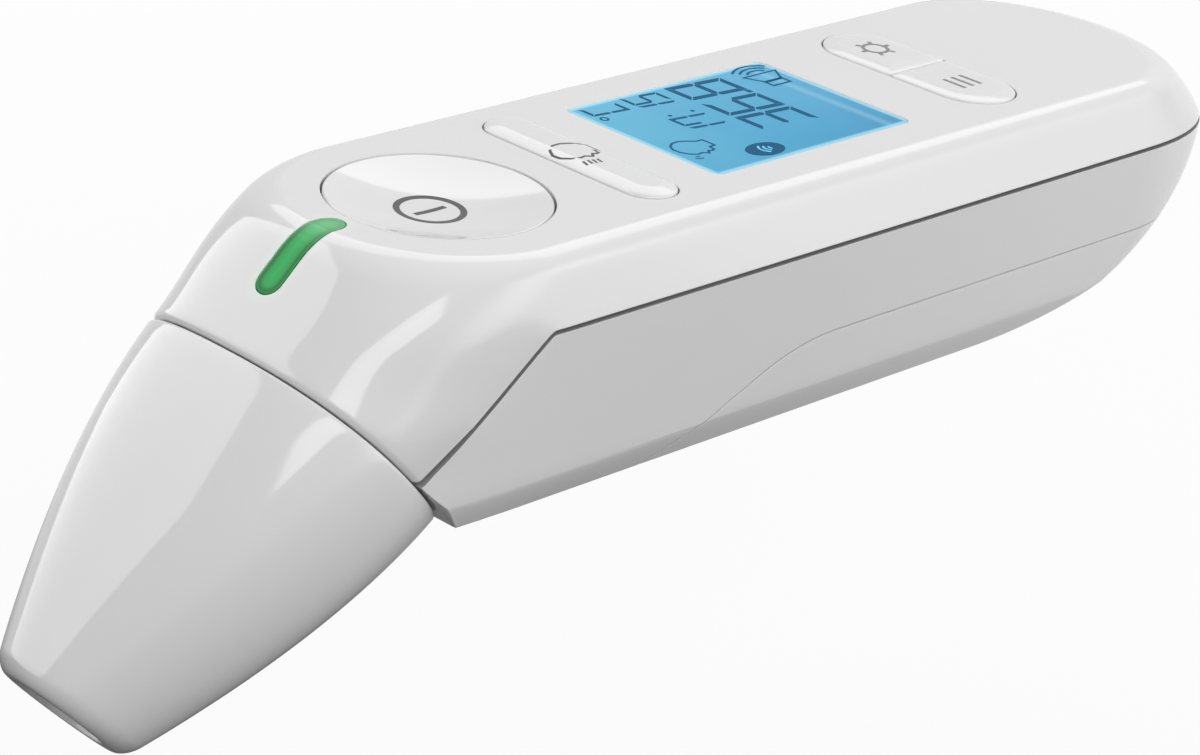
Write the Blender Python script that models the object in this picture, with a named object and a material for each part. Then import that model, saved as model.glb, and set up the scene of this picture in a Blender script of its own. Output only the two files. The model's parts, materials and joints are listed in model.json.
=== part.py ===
"""Infrared ear thermometer with a pull-off forehead cap, modelled as an assembly.

The origin is on the flat underside, below the centre of the display. +X runs to the
tail, the nose points towards -X and down, and +Z is up. Lengths are in millimetres:
every mesh is scaled to metres when its object is made.
"""

import math

import bmesh
import bpy
from mathutils import Matrix, Vector

MM = 0.001
GAP = 0.3  # room between pieces that touch
SEAM_GAP = 0.35  # visible groove between the outer shells
DOOR_GAP = 0.24
WALL = 2.0
BEYOND = 30.0  # half width of a cutter that has to pass right through the case
SMOOTH_ANGLE = math.radians(35)

# Housing, as plan outlines stacked from the underside to the top face
TOP_Z = 25.0
PARTING_Z = 18.05
PARTING_HALF = 18.0
TOP_HALF = 16.2
BOTTOM_HALF = 17.26
TOP_ROUND = 1.25
BOTTOM_ROUND = (1.36, 3.2)  # how far in and how far up the lower edge is rounded
NOSE_CENTRE_X = -41.4
NOSE_REACH = 16.0
NOSE_SLOPE = 1.044  # forward run of the nose front for each millimetre of depth
NOSE_STEADY_Z = 7.2  # below this level the nose outline keeps one power
NOSE_EASE_Z = 14.0  # above this level the nose outline eases into the top face's ellipse
TOP_POWER_SLOPE = 3.0
NOSE_SOFT = 0.5  # softness of the bend between the upper and lower sides of the nose
NOSE_FADE = 7.0  # length over which that bend fades out
TAIL_START_X = 46.0
TAIL_TOP_X = 59.4
TAIL_PARTING_X = 66.8
TAIL_BOTTOM_X = 34.0
TAIL_PROFILE = (1.3, 2.0)  # powers of the tail's profile above and below the parting line
QUARTER = 9  # points in a quarter of a plan outline

# Nose: the plane where the forehead cap meets the housing, and the cap
SEAM_X = -57.87
SEAM_Z = 6.61
SEAM_TILT = math.radians(43.45)
SEAM_HEIGHT = 12.96
SEAM_WIDTH = 16.34
SEAM_POWER = 2.425
TIP_X = -83.5
TIP_Z = -15.67
CAP_TIP_R = 6.97
CAP_OPENING_R = 4.8
CAP_PROFILE = 1.733
CAP_WALL = 1.6
PLUNGER_DROP = 9.0  # the cap detector's plunger, below the seam's centre

# Split lines on the side of the housing
PARTING_BEND_X = -43.2
JUNCTION_Z = 6.1
DOOR_Z = 8.6
DOOR_BEND_X = -3.8
DOOR_FRONT_X = -27.5

# Keys and display on the top face
POWER_X = -41.4
POWER_R = 10.8
POWER_DISH = 1.6
MODE_X = -22.9
MODE_HALF = (2.87, 12.0)
PAIR_X = 28.1
PAIR_HALF = (4.6, 11.9)
KEY_PROUD = 0.65
KEY_GAP = 0.25
KEY_FLANGE = 0.9
POWER_FLANGE = 0.8
FLANGE_LOW = 21.8
FLANGE_HIGH = TOP_Z - WALL - GAP
POST_R = 1.6
POST_LEVELS = (21.25, 22.2)
PAIR_KEY_Y = 6.0
DISPLAY_HALF = (14.35, 10.35)
GUIDE_ENDS = ((-53.4, 25.0), (-62.6, 20.2))
GUIDE_WIDTH = 2.8

# Display stack
WINDOW_LOW = 23.3
LCD_HALF = (16.0, 12.0)
LCD_LEVELS = (21.0, 22.6)
BACKLIGHT_LEVELS = (19.5, 20.7)
TRAY_HALF = (17.3, 13.3)
TRAY_LEVELS = (17.75, 22.3)
TRAY_FLOOR = 19.2

# Tact switches
SWITCH_HALF = 3.0
SWITCH_TOP = 20.2
SWITCH_WELL_R = 1.8
SWITCH_WELL_LOW = 18.7
STEM_R = 1.5
STEM_LEVELS = (19.2, 20.95)

# Inside
BOARD_TOP = 17.4
BOARD_THICK = 1.2
BOARD_X = (-54.0, 45.0)
BOARD_HALF = 13.4
WEB = (13.6, 15.0)
CELL_R = 5.2
CELL_Y = 5.55
CELL_Z = 8.0
BOSSES = ((-33.0, -11.5), (-33.0, 11.5), (50.0, -9.0), (50.0, 9.0))
BOSS_R = 2.1
PILLAR_R = 3.3
SCREW_WELL_R = 2.4
SCREW_SEAT = 10.0
SHANK_BORE_R = 1.5
THREAD_BORE_R = 1.35
BAY_FRONT = (-24.0, -22.4)
CELL_1_ENDS = (42.5, -1.3)  # raised end, flat end
CELL_2_ENDS = (-5.8, 38.0)
CONTACT_NOSE_X = -6.9
CONTACT_TAIL_X = 42.9
CONTACT_THICK = 0.4
CONTACT_LEVELS = (3.2, 13.0)
CONTACT_Y = (1.4, 9.7)
COIL_RADII = (3.4, 2.3)

# Cap detector
PLUNGER_R = 0.6
PLUNGER_BORE_R = 0.9
COLLAR_BORE_R = 7.6

PARTS = "ear_thermometer"
CUTTERS = "cutters"


# ---------------------------------------------------------------- scene and materials


def clear_scene():
    for obj in list(bpy.data.objects):
        bpy.data.objects.remove(obj, do_unlink=True)
    for collection in list(bpy.data.collections):
        bpy.data.collections.remove(collection)
    for name in (PARTS, CUTTERS):
        bpy.context.scene.collection.children.link(bpy.data.collections.new(name))


def material(name, colour, roughness, metallic=0.0, alpha=1.0):
    made = bpy.data.materials.get(name)
    if made:
        return made
    made = bpy.data.materials.new(name)
    made.use_nodes = True
    shader = made.node_tree.nodes["Principled BSDF"]
    shader.inputs["Base Color"].default_value = (*colour, 1.0)
    shader.inputs["Roughness"].default_value = roughness
    shader.inputs["Metallic"].default_value = metallic
    shader.inputs["Alpha"].default_value = alpha
    made.diffuse_color = (*colour, alpha)
    return made


def white_plastic():
    return material("gloss_white_plastic", (0.86, 0.86, 0.87), 0.18)


def green_plastic():
    return material("green_light_guide", (0.05, 0.50, 0.13), 0.2)


def clear_plastic():
    return material("clear_window", (0.55, 0.80, 0.90), 0.05, alpha=0.4)


def lcd_glass():
    return material("lcd_glass", (0.10, 0.42, 0.66), 0.15)


def blue_light_plate():
    return material("backlight_plate", (0.20, 0.62, 0.85), 0.4)


def grey_plastic():
    return material("grey_plastic", (0.30, 0.31, 0.32), 0.5)


def black_plastic():
    return material("black_plastic", (0.03, 0.03, 0.03), 0.5)


def board_green():
    return material("circuit_board", (0.03, 0.22, 0.10), 0.45)


def copper_film():
    return material("flex_film", (0.55, 0.28, 0.08), 0.4)


def steel():
    return material("steel", (0.60, 0.60, 0.62), 0.3, 1.0)


def nickel():
    return material("nickel_strip", (0.72, 0.70, 0.66), 0.25, 1.0)


def cell_jacket():
    return material("cell_jacket", (0.10, 0.12, 0.16), 0.35)


def silicone():
    return material("silicone", (0.25, 0.25, 0.26), 0.7)


# ---------------------------------------------------------------- object helpers


def add(name, mesh, finish, origin=(0.0, 0.0, 0.0), group=PARTS):
    """An object from a bmesh drawn in world millimetres, with its origin where asked."""
    bmesh.ops.recalc_face_normals(mesh, faces=mesh.faces)
    data = bpy.data.meshes.new(name)
    mesh.to_mesh(data)
    mesh.free()
    data.transform(Matrix.Scale(MM, 4) @ Matrix.Translation(-Vector(origin)))
    obj = bpy.data.objects.new(name, data)
    obj.location = Vector(origin) * MM
    bpy.data.collections[group].objects.link(obj)
    if finish:
        data.materials.append(finish)
        data.shade_smooth()
        data.set_sharp_from_angle(angle=SMOOTH_ANGLE)
    return obj


def cutter(name, mesh):
    obj = add(name, mesh, None, group=CUTTERS)
    obj.hide_render = True
    obj.display_type = "WIRE"
    return obj


def boolean(obj, tool, operation="DIFFERENCE"):
    modifier = obj.modifiers.new(f"{operation.lower()}_{tool.name}", "BOOLEAN")
    modifier.operation = operation
    modifier.solver = "EXACT"
    modifier.object = tool


def loft(rings, ring_shaped=False):
    """A closed skin over equal rings; ring_shaped joins the last ring to the first."""
    mesh = bmesh.new()
    rows = [[mesh.verts.new(point) for point in ring] for ring in rings]
    pairs = list(zip(rows, rows[1:]))
    if ring_shaped:
        pairs.append((rows[-1], rows[0]))
    for low, high in pairs:
        for i in range(len(low)):
            j = (i + 1) % len(low)
            mesh.faces.new((low[i], low[j], high[j], high[i]))
    bmesh.ops.triangulate(mesh, faces=mesh.faces)
    if not ring_shaped:
        mesh.faces.new(rows[0])
        mesh.faces.new(rows[-1])
    return mesh


def box(low, high):
    mesh = bmesh.new()
    bmesh.ops.create_cube(mesh, size=1.0)
    size = Vector(high) - Vector(low)
    middle = (Vector(high) + Vector(low)) / 2
    bmesh.ops.transform(
        mesh, matrix=Matrix.Translation(middle) @ Matrix.Diagonal((*size, 1)), verts=mesh.verts
    )
    return mesh


def bevelled(mesh, width):
    bmesh.ops.bevel(
        mesh, geom=list(mesh.edges), offset=width, segments=2, profile=0.5, affect="EDGES"
    )
    return mesh


def rod(start, end, radius, sides=24):
    start, end = Vector(start), Vector(end)
    along = end - start
    mesh = bmesh.new()
    bmesh.ops.create_cone(
        mesh, cap_ends=True, segments=sides, radius1=radius, radius2=radius, depth=along.length
    )
    turn = along.to_track_quat("Z", "Y").to_matrix().to_4x4()
    bmesh.ops.transform(mesh, matrix=Matrix.Translation((start + end) / 2) @ turn, verts=mesh.verts)
    return mesh


def turned(profile, frame=Matrix.Identity(4), sides=24):
    """A turned solid: profile is (radius, height) pairs from the axis back to the axis."""
    mesh = bmesh.new()
    points = [mesh.verts.new((radius, 0.0, height)) for radius, height in profile]
    edges = [mesh.edges.new(pair) for pair in zip(points, points[1:])]
    if profile[0][0] > 0:
        edges.append(mesh.edges.new((points[-1], points[0])))
    bmesh.ops.spin(
        mesh, geom=points + edges, cent=(0, 0, 0), axis=(0, 0, 1), angle=math.tau,
        steps=sides, use_merge=True,
    )
    bmesh.ops.remove_doubles(mesh, verts=mesh.verts, dist=1e-4)
    bmesh.ops.transform(mesh, matrix=frame, verts=mesh.verts)
    return mesh


def prism(outline, low, high):
    """A side outline of (x, z) points drawn out across the width, from y low to y high."""
    mesh = bmesh.new()
    face = mesh.faces.new([mesh.verts.new((x, low, z)) for x, z in outline])
    grown = bmesh.ops.extrude_face_region(mesh, geom=[face])
    moved = [item for item in grown["geom"] if isinstance(item, bmesh.types.BMVert)]
    bmesh.ops.translate(mesh, verts=moved, vec=(0.0, high - low, 0.0))
    return mesh


# ---------------------------------------------------------------- outlines


def rounded_rect(low, high, radii, z, corner=5):
    """A rectangle with its own radius at each corner, from (low x, low y) anticlockwise."""
    corners = (
        (low[0], low[1], 1, 1), (high[0], low[1], -1, 1),
        (high[0], high[1], -1, -1), (low[0], high[1], 1, -1),
    )
    ring = []
    for number, ((x, y, to_x, to_y), radius) in enumerate(zip(corners, radii)):
        start = math.pi + number * math.pi / 2
        for step in range(corner + 1):
            angle = start + step / corner * math.pi / 2
            centre = (x + to_x * radius, y + to_y * radius)
            across = centre[0] + radius * math.cos(angle)
            ring.append((across, centre[1] + radius * math.sin(angle), z))
    return ring


def plate(low, high, radius, z_low, z_high):
    radii = (radius,) * 4
    return loft([rounded_rect(low, high, radii, z) for z in (z_low, z_high)])


def power_cos(angle, exponent):
    value = math.cos(angle)
    return math.copysign(abs(value) ** (2 / exponent), value)


def power_sin(angle, exponent):
    value = math.sin(angle)
    return math.copysign(abs(value) ** (2 / exponent), value)


def half_width(z):
    if z >= PARTING_Z:
        share = (TOP_Z - z) / (TOP_Z - PARTING_Z)
        return TOP_HALF + (PARTING_HALF - TOP_HALF) * share
    return BOTTOM_HALF + (PARTING_HALF - BOTTOM_HALF) * z / PARTING_Z


def seam_half_width(z):
    """Half width of the cap's rim at level z, and the x of the seam plane there."""
    up = (z - SEAM_Z) / math.cos(SEAM_TILT)
    x = SEAM_X - up * math.sin(SEAM_TILT)
    return SEAM_WIDTH * max(0.0, 1 - abs(up / SEAM_HEIGHT) ** SEAM_POWER) ** (1 / SEAM_POWER), x


def nose_width(z):
    """Half width of the nose at level z; the bend at the parting level fades out here."""
    upper = TOP_HALF + (PARTING_HALF - TOP_HALF) * (TOP_Z - z) / (TOP_Z - PARTING_Z)
    lower = BOTTOM_HALF + (PARTING_HALF - BOTTOM_HALF) * z / PARTING_Z
    softened = NOSE_SOFT * math.log1p(math.exp(-abs(upper - lower) / NOSE_SOFT))
    return min(upper, lower) - softened


def rim_power(z):
    """The superellipse power that brings the nose outline at level z onto the cap's rim."""
    level = max(z, NOSE_STEADY_Z)
    width, x = seam_half_width(level)
    along = (NOSE_CENTRE_X - x) / (NOSE_REACH + NOSE_SLOPE * (TOP_Z - level))
    across = width / nose_width(level)
    low, high = 1.2, 8.0
    for _ in range(40):
        power = (low + high) / 2
        if along**power + across**power > 1:
            low = power
        else:
            high = power
    return power


def nose_power(z):
    """Power of the nose outline: that of the cap's rim, easing into the top face's ellipse."""
    if z <= NOSE_EASE_Z:
        return rim_power(z)
    span = TOP_Z - NOSE_EASE_Z
    rim = rim_power(NOSE_EASE_Z)
    rim_slope = (rim_power(NOSE_EASE_Z - 0.2) - rim) / 0.2 * span
    share = (TOP_Z - z) / span
    square, cube = share**2, share**3
    from_top = (2 * cube - 3 * square + 1) * 2.0 + (cube - 2 * square + share) * TOP_POWER_SLOPE
    return from_top + (3 * square - 2 * cube) * rim + (cube - square) * rim_slope


def tail_reach(z):
    """End of the tail at level z, where its straight sides end, and its outline's power."""
    if z >= PARTING_Z:
        share = (TOP_Z - z) / (TOP_Z - PARTING_Z)
        swell = max(0.0, 1 - (1 - share) ** TAIL_PROFILE[0]) ** (1 / TAIL_PROFILE[0])
        reach = TAIL_TOP_X + (TAIL_PARTING_X - TAIL_TOP_X) * swell
        return reach, TAIL_START_X, 1.98 + 0.59 * share
    share = (PARTING_Z - z) / PARTING_Z
    swell = max(0.0, 1 - share ** TAIL_PROFILE[1]) ** (1 / TAIL_PROFILE[1])
    reach = TAIL_BOTTOM_X + (TAIL_PARTING_X - TAIL_BOTTOM_X) * swell
    length = (TAIL_PARTING_X - TAIL_START_X) - 9.75 * share
    return reach, reach - length, 2.57 - 0.416 * share


def edge_inset(z):
    """How far the outline draws in for the rounded edges of the top and the underside."""
    depth, rise = BOTTOM_ROUND
    if z < rise:
        return depth * (1 - math.sqrt(max(0.0, 1 - (1 - z / rise) ** 2)))
    start = TOP_Z - TOP_ROUND
    if z > start:
        return TOP_ROUND - math.sqrt(max(0.0, TOP_ROUND**2 - (z - start) ** 2))
    return 0.0


def body_ring(z, inset=0.0, level=None):
    """Plan outline of the housing at level z, drawn in by inset and placed at level."""
    width = half_width(z) - inset
    nose = NOSE_REACH + NOSE_SLOPE * (TOP_Z - z) - inset
    reach, start, tail = tail_reach(z)
    reach -= inset
    power = nose_power(z)
    soft_width = nose_width(z) - inset
    side = []
    for step in range(QUARTER):
        angle = step / (QUARTER - 1) * math.pi / 2
        x = NOSE_CENTRE_X - nose * power_cos(angle, power)
        fade = min(1.0, (NOSE_CENTRE_X - x) / NOSE_FADE)
        fade *= fade * (3 - 2 * fade)
        side.append((x, (width + (soft_width - width) * fade) * power_sin(angle, power)))
    for step in range(QUARTER):
        angle = step / (QUARTER - 1) * math.pi / 2
        x = start + (reach - start) * power_sin(angle, tail)
        side.append((x, width * power_cos(angle, tail)))
    height = z if level is None else level
    near = [(x, -y, height) for x, y in side]
    far = [(x, y, height) for x, y in reversed(side[1:-1])]
    return near + far


def outer_body():
    levels = (0, 0.3, 1.1, 2.2, 3.8, 7.2, 10, 12.5, 14.8, 16.4, PARTING_Z, 20.2, 21.8)
    rings = [body_ring(z, edge_inset(z)) for z in levels]
    start = TOP_Z - TOP_ROUND
    for step in range(4):
        level = start + TOP_ROUND * math.sin(step * math.pi / 6)
        rings.append(body_ring(level, edge_inset(level)))
    return loft(rings)


def inner_body():
    levels = (WALL, 4.2, 8, 12.5, 15.6, PARTING_Z, TOP_Z - WALL)
    return loft([body_ring(z, WALL + (0.8 if z == WALL else 0.0)) for z in levels])


def seam_frame(along=0.0):
    """Placement at the seam's centre: local Z points out of the nose and local X up."""
    outward = Vector((-math.cos(SEAM_TILT), 0.0, -math.sin(SEAM_TILT)))
    upward = Vector((-math.sin(SEAM_TILT), 0.0, math.cos(SEAM_TILT)))
    return placement(Vector((SEAM_X, 0.0, SEAM_Z)) + outward * along, upward, outward)


def probe_frame():
    """Placement on the probe's axis, which runs from the seam's centre to the cap's tip."""
    outward = Vector((TIP_X - SEAM_X, 0.0, TIP_Z - SEAM_Z)).normalized()
    upward = Vector((outward.z, 0.0, -outward.x))
    return placement(Vector((SEAM_X, 0.0, SEAM_Z)), upward, outward)


def placement(centre, x_axis, z_axis):
    y_axis = z_axis.cross(x_axis)
    turn = Matrix((x_axis, y_axis, z_axis)).transposed().to_4x4()
    return Matrix.Translation(centre) @ turn


def oval(height, width, power, out, frame, count=32):
    """A superellipse in the seam plane's own axes, at a distance out along the nose."""
    ring = []
    for step in range(count):
        angle = step / count * math.tau
        local = Vector((height * power_cos(angle, power), width * power_sin(angle, power), out))
        ring.append(frame @ local)
    return ring


def arc_corner(before, corner, after, radius, steps=5):
    """The round that replaces a corner of a side outline, as (x, z) points."""
    corner = Vector(corner)
    first = (Vector(before) - corner).normalized()
    second = (Vector(after) - corner).normalized()
    half = first.angle(second) / 2
    reach = radius / math.tan(half)
    centre = corner + (first + second).normalized() * radius / math.sin(half)
    start = corner + first * reach - centre
    turn = math.pi - 2 * half
    side = 1 if start.x * second.y - start.y * second.x > 0 else -1
    points = []
    for step in range(steps + 1):
        angle = side * turn * step / steps
        points.append((
            centre.x + start.x * math.cos(angle) - start.y * math.sin(angle),
            centre.y + start.x * math.sin(angle) + start.y * math.cos(angle),
        ))
    return points


def parting_line():
    """The line between the upper and lower shells, from the nose to past the tail."""
    outside = (-75.0, JUNCTION_Z)
    junction = (-57.0, JUNCTION_Z)
    bend = (PARTING_BEND_X, PARTING_Z)
    tail = (90.0, PARTING_Z)
    return [
        outside,
        *arc_corner(outside, junction, bend, 1.2, 3),
        *arc_corner(junction, bend, tail, 1.6, 4),
        tail,
    ]


def door_line():
    """The upper edge of the battery door, from under the nose to past the tail."""
    front = (DOOR_FRONT_X - 7.2, -3.0)
    bend = (DOOR_BEND_X - 4.0, DOOR_Z)
    tail = (90.0, DOOR_Z)
    return [front, *arc_corner(front, bend, tail, 28.0, 7), tail]


def shifted(line, rise):
    """A side line moved square to itself by rise."""
    moved = []
    for index, point in enumerate(line):
        before = Vector(line[max(index - 1, 0)])
        after = Vector(line[min(index + 1, len(line) - 1)])
        along = (after - before).normalized()
        moved.append((point[0] - along.y * rise, point[1] + along.x * rise))
    return moved


def zone_below(line, rise):
    """The side outline of everything below a line."""
    edge = shifted(line, rise)
    return [*edge, (edge[-1][0], -12.0), (edge[0][0], -12.0)]


def zone_above(line, rise):
    edge = shifted(line, rise)
    return [*edge, (edge[-1][0], 40.0), (edge[0][0], 40.0)]


# ---------------------------------------------------------------- shells


def shell_cutters():
    """Cutters that more than one shell shares."""
    width = BEYOND
    hollow = cutter("hollow", inner_body())
    slab = box((-30, -30, -2.6), (30, 30, 30))
    bmesh.ops.transform(slab, matrix=seam_frame(), verts=slab.verts)
    boolean(hollow, cutter("front_wall", slab))
    nose = box((-40, -30, -SEAM_GAP / 2), (40, 30, 60))
    bmesh.ops.transform(nose, matrix=seam_frame(), verts=nose.verts)
    frame = seam_frame()
    lip = 2.3
    mouth = [
        oval(SEAM_HEIGHT - lip, SEAM_WIDTH - lip, SEAM_POWER, out, frame, 36) for out in (-8.3, 2.1)
    ]
    return {
        "hollow": hollow,
        "nose": cutter("beyond_seam", nose),
        "mouth": cutter("mouth", loft(mouth)),
        "upper": cutter("upper_zone", prism(zone_above(parting_line(), SEAM_GAP / 2), -width, width)),
        "lower": cutter("lower_zone", prism(zone_below(parting_line(), -SEAM_GAP / 2), -width, width)),
        "door": cutter("door_zone", prism(zone_below(door_line(), -DOOR_GAP / 2), -width, width)),
        "door_room": cutter("door_room", prism(zone_below(door_line(), DOOR_GAP / 2), -width, width)),
    }


def guide_prism(grow, reach):
    """The pill that the light guide and its slot are cut to, square to the nose's shoulder."""
    start, end = (Vector((x, 0.0, z)) for x, z in GUIDE_ENDS)
    outward = Vector((-0.48, 0.0, 0.877)).normalized()
    along = (start - end) - (start - end).dot(outward) * outward
    frame = placement((start + end) / 2, along.normalized(), outward)
    half = along.length / 2 + grow
    across = GUIDE_WIDTH / 2 + grow
    radii = (across - 0.01,) * 4
    rings = [rounded_rect((-half, -across), (half, across), radii, out) for out in reach]
    mesh = loft(rings)
    bmesh.ops.transform(mesh, matrix=frame, verts=mesh.verts)
    return mesh


def key_outline(low, high, radii, inset, z):
    inner_low = (low[0] + inset, low[1] + inset)
    inner_high = (high[0] - inset, high[1] - inset)
    return rounded_rect(inner_low, inner_high, [max(radius - inset, 0.05) for radius in radii], z)


def upper_housing(cut):
    shell = add("upper_housing", outer_body(), white_plastic())
    boolean(shell, cut["upper"], "INTERSECT")
    boolean(shell, cut["nose"])
    boolean(shell, cut["hollow"])
    boolean(shell, cut["mouth"])
    top = TOP_Z + 3
    under = TOP_Z - WALL - 1.5
    holes = {
        "power_hole": rod((POWER_X, 0, under), (POWER_X, 0, top), POWER_R + KEY_GAP, 32),
        "mode_hole": loft([mode_ring(-KEY_GAP, z) for z in (under, top)]),
        "pair_hole": loft([pair_ring(-KEY_GAP, z) for z in (under, top)]),
        "display_hole": plate(
            [-half - 0.2 for half in DISPLAY_HALF], [half + 0.2 for half in DISPLAY_HALF], 1.0, under, top
        ),
        "guide_slot": guide_prism(0.15, (-6.0, 8.0)),
    }
    for name, mesh in holes.items():
        boolean(shell, cutter(name, mesh))
    for number, (x, y) in enumerate(BOSSES, 1):
        low = 12.4 if x < 0 else WEB[1] + GAP
        boss = cutter(f"upper_boss_{number}", rod((x, y, low), (x, y, TOP_Z - 1.0), BOSS_R, 16))
        bore = rod((x, y, low - 1), (x, y, low + 6), THREAD_BORE_R, 12)
        boolean(boss, cutter(f"boss_bore_{number}", bore))
        boolean(shell, boss, "UNION")


def nose_round():
    """A wedge whose front corners round off the sides of the lower shell at the seam."""
    flare, rear = math.radians(8), 170.0
    rings = []
    for up, half, radius in ((-130.0, 17.0, 2.8), (-9.0, 17.0, 2.8), (1.0, 16.9, 1.0), (130.0, BEYOND, 1.0)):
        centre = (-SEAM_GAP / 2 - radius, half - radius)
        side = []
        for step in range(6):
            angle = math.pi / 2 - flare - step / 5 * (math.pi / 2 - flare)
            side.append((centre[0] + radius * math.cos(angle), centre[1] + radius * math.sin(angle)))
        side.insert(0, (-rear, side[0][1] + (rear + side[0][0]) * math.tan(flare)))
        outline = side + [(out, -y) for out, y in reversed(side)]
        rings.append([seam_frame() @ Vector((up, y, out)) for out, y in outline])
    return loft(rings)


def neck():
    """The short sleeve behind the cap's rim, which shows as a chin under the nose."""
    frame = seam_frame()
    rings = [oval(SEAM_HEIGHT, SEAM_WIDTH - 0.1, SEAM_POWER, out, frame) for out in (-6.5, 2.0)]
    return loft(rings)


def lower_housing(cut):
    shell = add("lower_housing", outer_body(), white_plastic())
    boolean(shell, cutter("neck", neck()), "UNION")
    boolean(shell, cut["lower"], "INTERSECT")
    boolean(shell, cut["nose"])
    boolean(shell, cut["door_room"])
    hollow = cutter("lower_hollow", inner_body())
    boolean(hollow, bpy.data.objects["front_wall"])
    web = box((BAY_FRONT[0], -BEYOND, WEB[0]), (90.0, BEYOND, WEB[1]))
    front_wall = box((BAY_FRONT[0], -BEYOND, -5.0), (BAY_FRONT[1], BEYOND, WEB[1]))
    boolean(hollow, cutter("bay_roof", web))
    boolean(hollow, cutter("bay_front", front_wall))
    boolean(shell, hollow)
    boolean(shell, cut["mouth"])
    for number, (x, y) in enumerate(BOSSES, 1):
        if x < 0:
            pillar = cutter(f"pillar_{number}", rod((x, y, 1.0), (x, y, 12.0), PILLAR_R, 20))
            well = rod((x, y, -2.0), (x, y, SCREW_SEAT), SCREW_WELL_R, 16)
            bore = rod((x, y, 9.0), (x, y, 13.0), SHANK_BORE_R, 12)
            boolean(shell, pillar, "UNION")
            boolean(shell, cutter(f"screw_well_{number}", well))
        else:
            bore = rod((x, y, WEB[0] - 1), (x, y, WEB[1] + 1), SHANK_BORE_R, 12)
        boolean(shell, cutter(f"screw_bore_{number}", bore))
    boolean(shell, cutter("lower_round", nose_round()), "INTERSECT")


def battery_door(cut):
    door = add("battery_door", outer_body(), white_plastic(), origin=(0.0, 0.0, DOOR_Z))
    boolean(door, cut["door"], "INTERSECT")
    boolean(door, cut["hollow"])


# ---------------------------------------------------------------- keys


def mode_ring(inset, z):
    low = (MODE_X - MODE_HALF[0], -MODE_HALF[1])
    high = (MODE_X + MODE_HALF[0], MODE_HALF[1])
    return key_outline(low, high, (MODE_HALF[0] - 0.01,) * 4, inset, z)


def pair_ring(inset, z):
    low = (PAIR_X - PAIR_HALF[0], -PAIR_HALF[1])
    high = (PAIR_X + PAIR_HALF[0], PAIR_HALF[1])
    return key_outline(low, high, (PAIR_HALF[0] - 0.01,) * 4, inset, z)


def half_pair_ring(side, inset, z):
    """One half of the split key: side is -1 towards -Y and 1 towards +Y."""
    near = 0.15 if inset >= 0 else 0.45 - inset
    round_end = PAIR_HALF[0] - 0.01
    if side < 0:
        low, high = (PAIR_X - PAIR_HALF[0], -PAIR_HALF[1]), (PAIR_X + PAIR_HALF[0], -near)
        radii = (round_end, round_end, 0.4, 0.4)
    else:
        low, high = (PAIR_X - PAIR_HALF[0], near), (PAIR_X + PAIR_HALF[0], PAIR_HALF[1])
        radii = (0.4, 0.4, round_end, round_end)
    return key_outline(low, high, radii, inset, z)


def key_levels():
    """Inset and level of a pill key's outlines, from its flange to its crown."""
    return (
        (-KEY_FLANGE, FLANGE_LOW), (-KEY_FLANGE, FLANGE_HIGH), (0.0, FLANGE_HIGH), (0.0, TOP_Z),
        (0.22, TOP_Z + 0.35), (0.8, TOP_Z + 0.55), (1.7, TOP_Z + KEY_PROUD),
    )


def with_post(key, x, y):
    low, high = POST_LEVELS
    post = rod((x, y, low), (x, y, high), POST_R, 16)
    boolean(key, cutter(f"{key.name}_post", post), "UNION")


def power_button():
    """A dished round key: a ball-shaped hollow in its face, a skirt, a flange and a post."""
    ball = (POWER_R**2 + POWER_DISH**2) / (2 * POWER_DISH)
    profile = []
    for step in range(7):
        radius = (POWER_R - 0.35) * step / 6
        profile.append((radius, TOP_Z - POWER_DISH + ball - math.sqrt(ball**2 - radius**2)))
    profile += [
        (POWER_R - 0.08, TOP_Z - 0.1), (POWER_R, TOP_Z - 0.35), (POWER_R, FLANGE_HIGH),
        (POWER_R + POWER_FLANGE, FLANGE_HIGH), (POWER_R + POWER_FLANGE, FLANGE_LOW), (0.0, FLANGE_LOW),
    ]
    key = add(
        "power_button", turned(profile, Matrix.Translation((POWER_X, 0, 0)), 32),
        white_plastic(), origin=(POWER_X, 0.0, TOP_Z),
    )
    with_post(key, POWER_X, 0.0)


def pill_buttons():
    mode = add(
        "mode_button", loft([mode_ring(inset, z) for inset, z in key_levels()]),
        white_plastic(), origin=(MODE_X, 0.0, TOP_Z),
    )
    with_post(mode, MODE_X, 0.0)
    for name, side in (("memory_button", -1), ("set_button", 1)):
        rings = [half_pair_ring(side, inset, z) for inset, z in key_levels()]
        y = side * PAIR_KEY_Y
        key = add(name, loft(rings), white_plastic(), origin=(PAIR_X, y, TOP_Z))
        with_post(key, PAIR_X, y)


KEY_PLACES = {
    "power": (POWER_X, 0.0),
    "mode": (MODE_X, 0.0),
    "memory": (PAIR_X, -PAIR_KEY_Y),
    "set": (PAIR_X, PAIR_KEY_Y),
}


def key_switches():
    """A tact switch under each key: a body with a well, and the stem that the key pushes."""
    low = BOARD_TOP + GAP
    for name, (x, y) in KEY_PLACES.items():
        near = (x - SWITCH_HALF, y - SWITCH_HALF, low)
        far = (x + SWITCH_HALF, y + SWITCH_HALF, SWITCH_TOP)
        body = add(f"{name}_switch", bevelled(box(near, far), 0.25), black_plastic())
        well = rod((x, y, SWITCH_WELL_LOW), (x, y, SWITCH_TOP + 0.8), SWITCH_WELL_R, 20)
        boolean(body, cutter(f"{name}_switch_well", well))
        top = (x, y, STEM_LEVELS[1])
        stem = rod((x, y, STEM_LEVELS[0]), top, STEM_R, 20)
        add(f"{name}_switch_stem", stem, grey_plastic(), origin=top)


# ---------------------------------------------------------------- display and board


def centred_plate(half, radius, z_low, z_high):
    """A rounded plate about the display's centre."""
    return plate([-extent for extent in half], half, radius, z_low, z_high)


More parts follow.
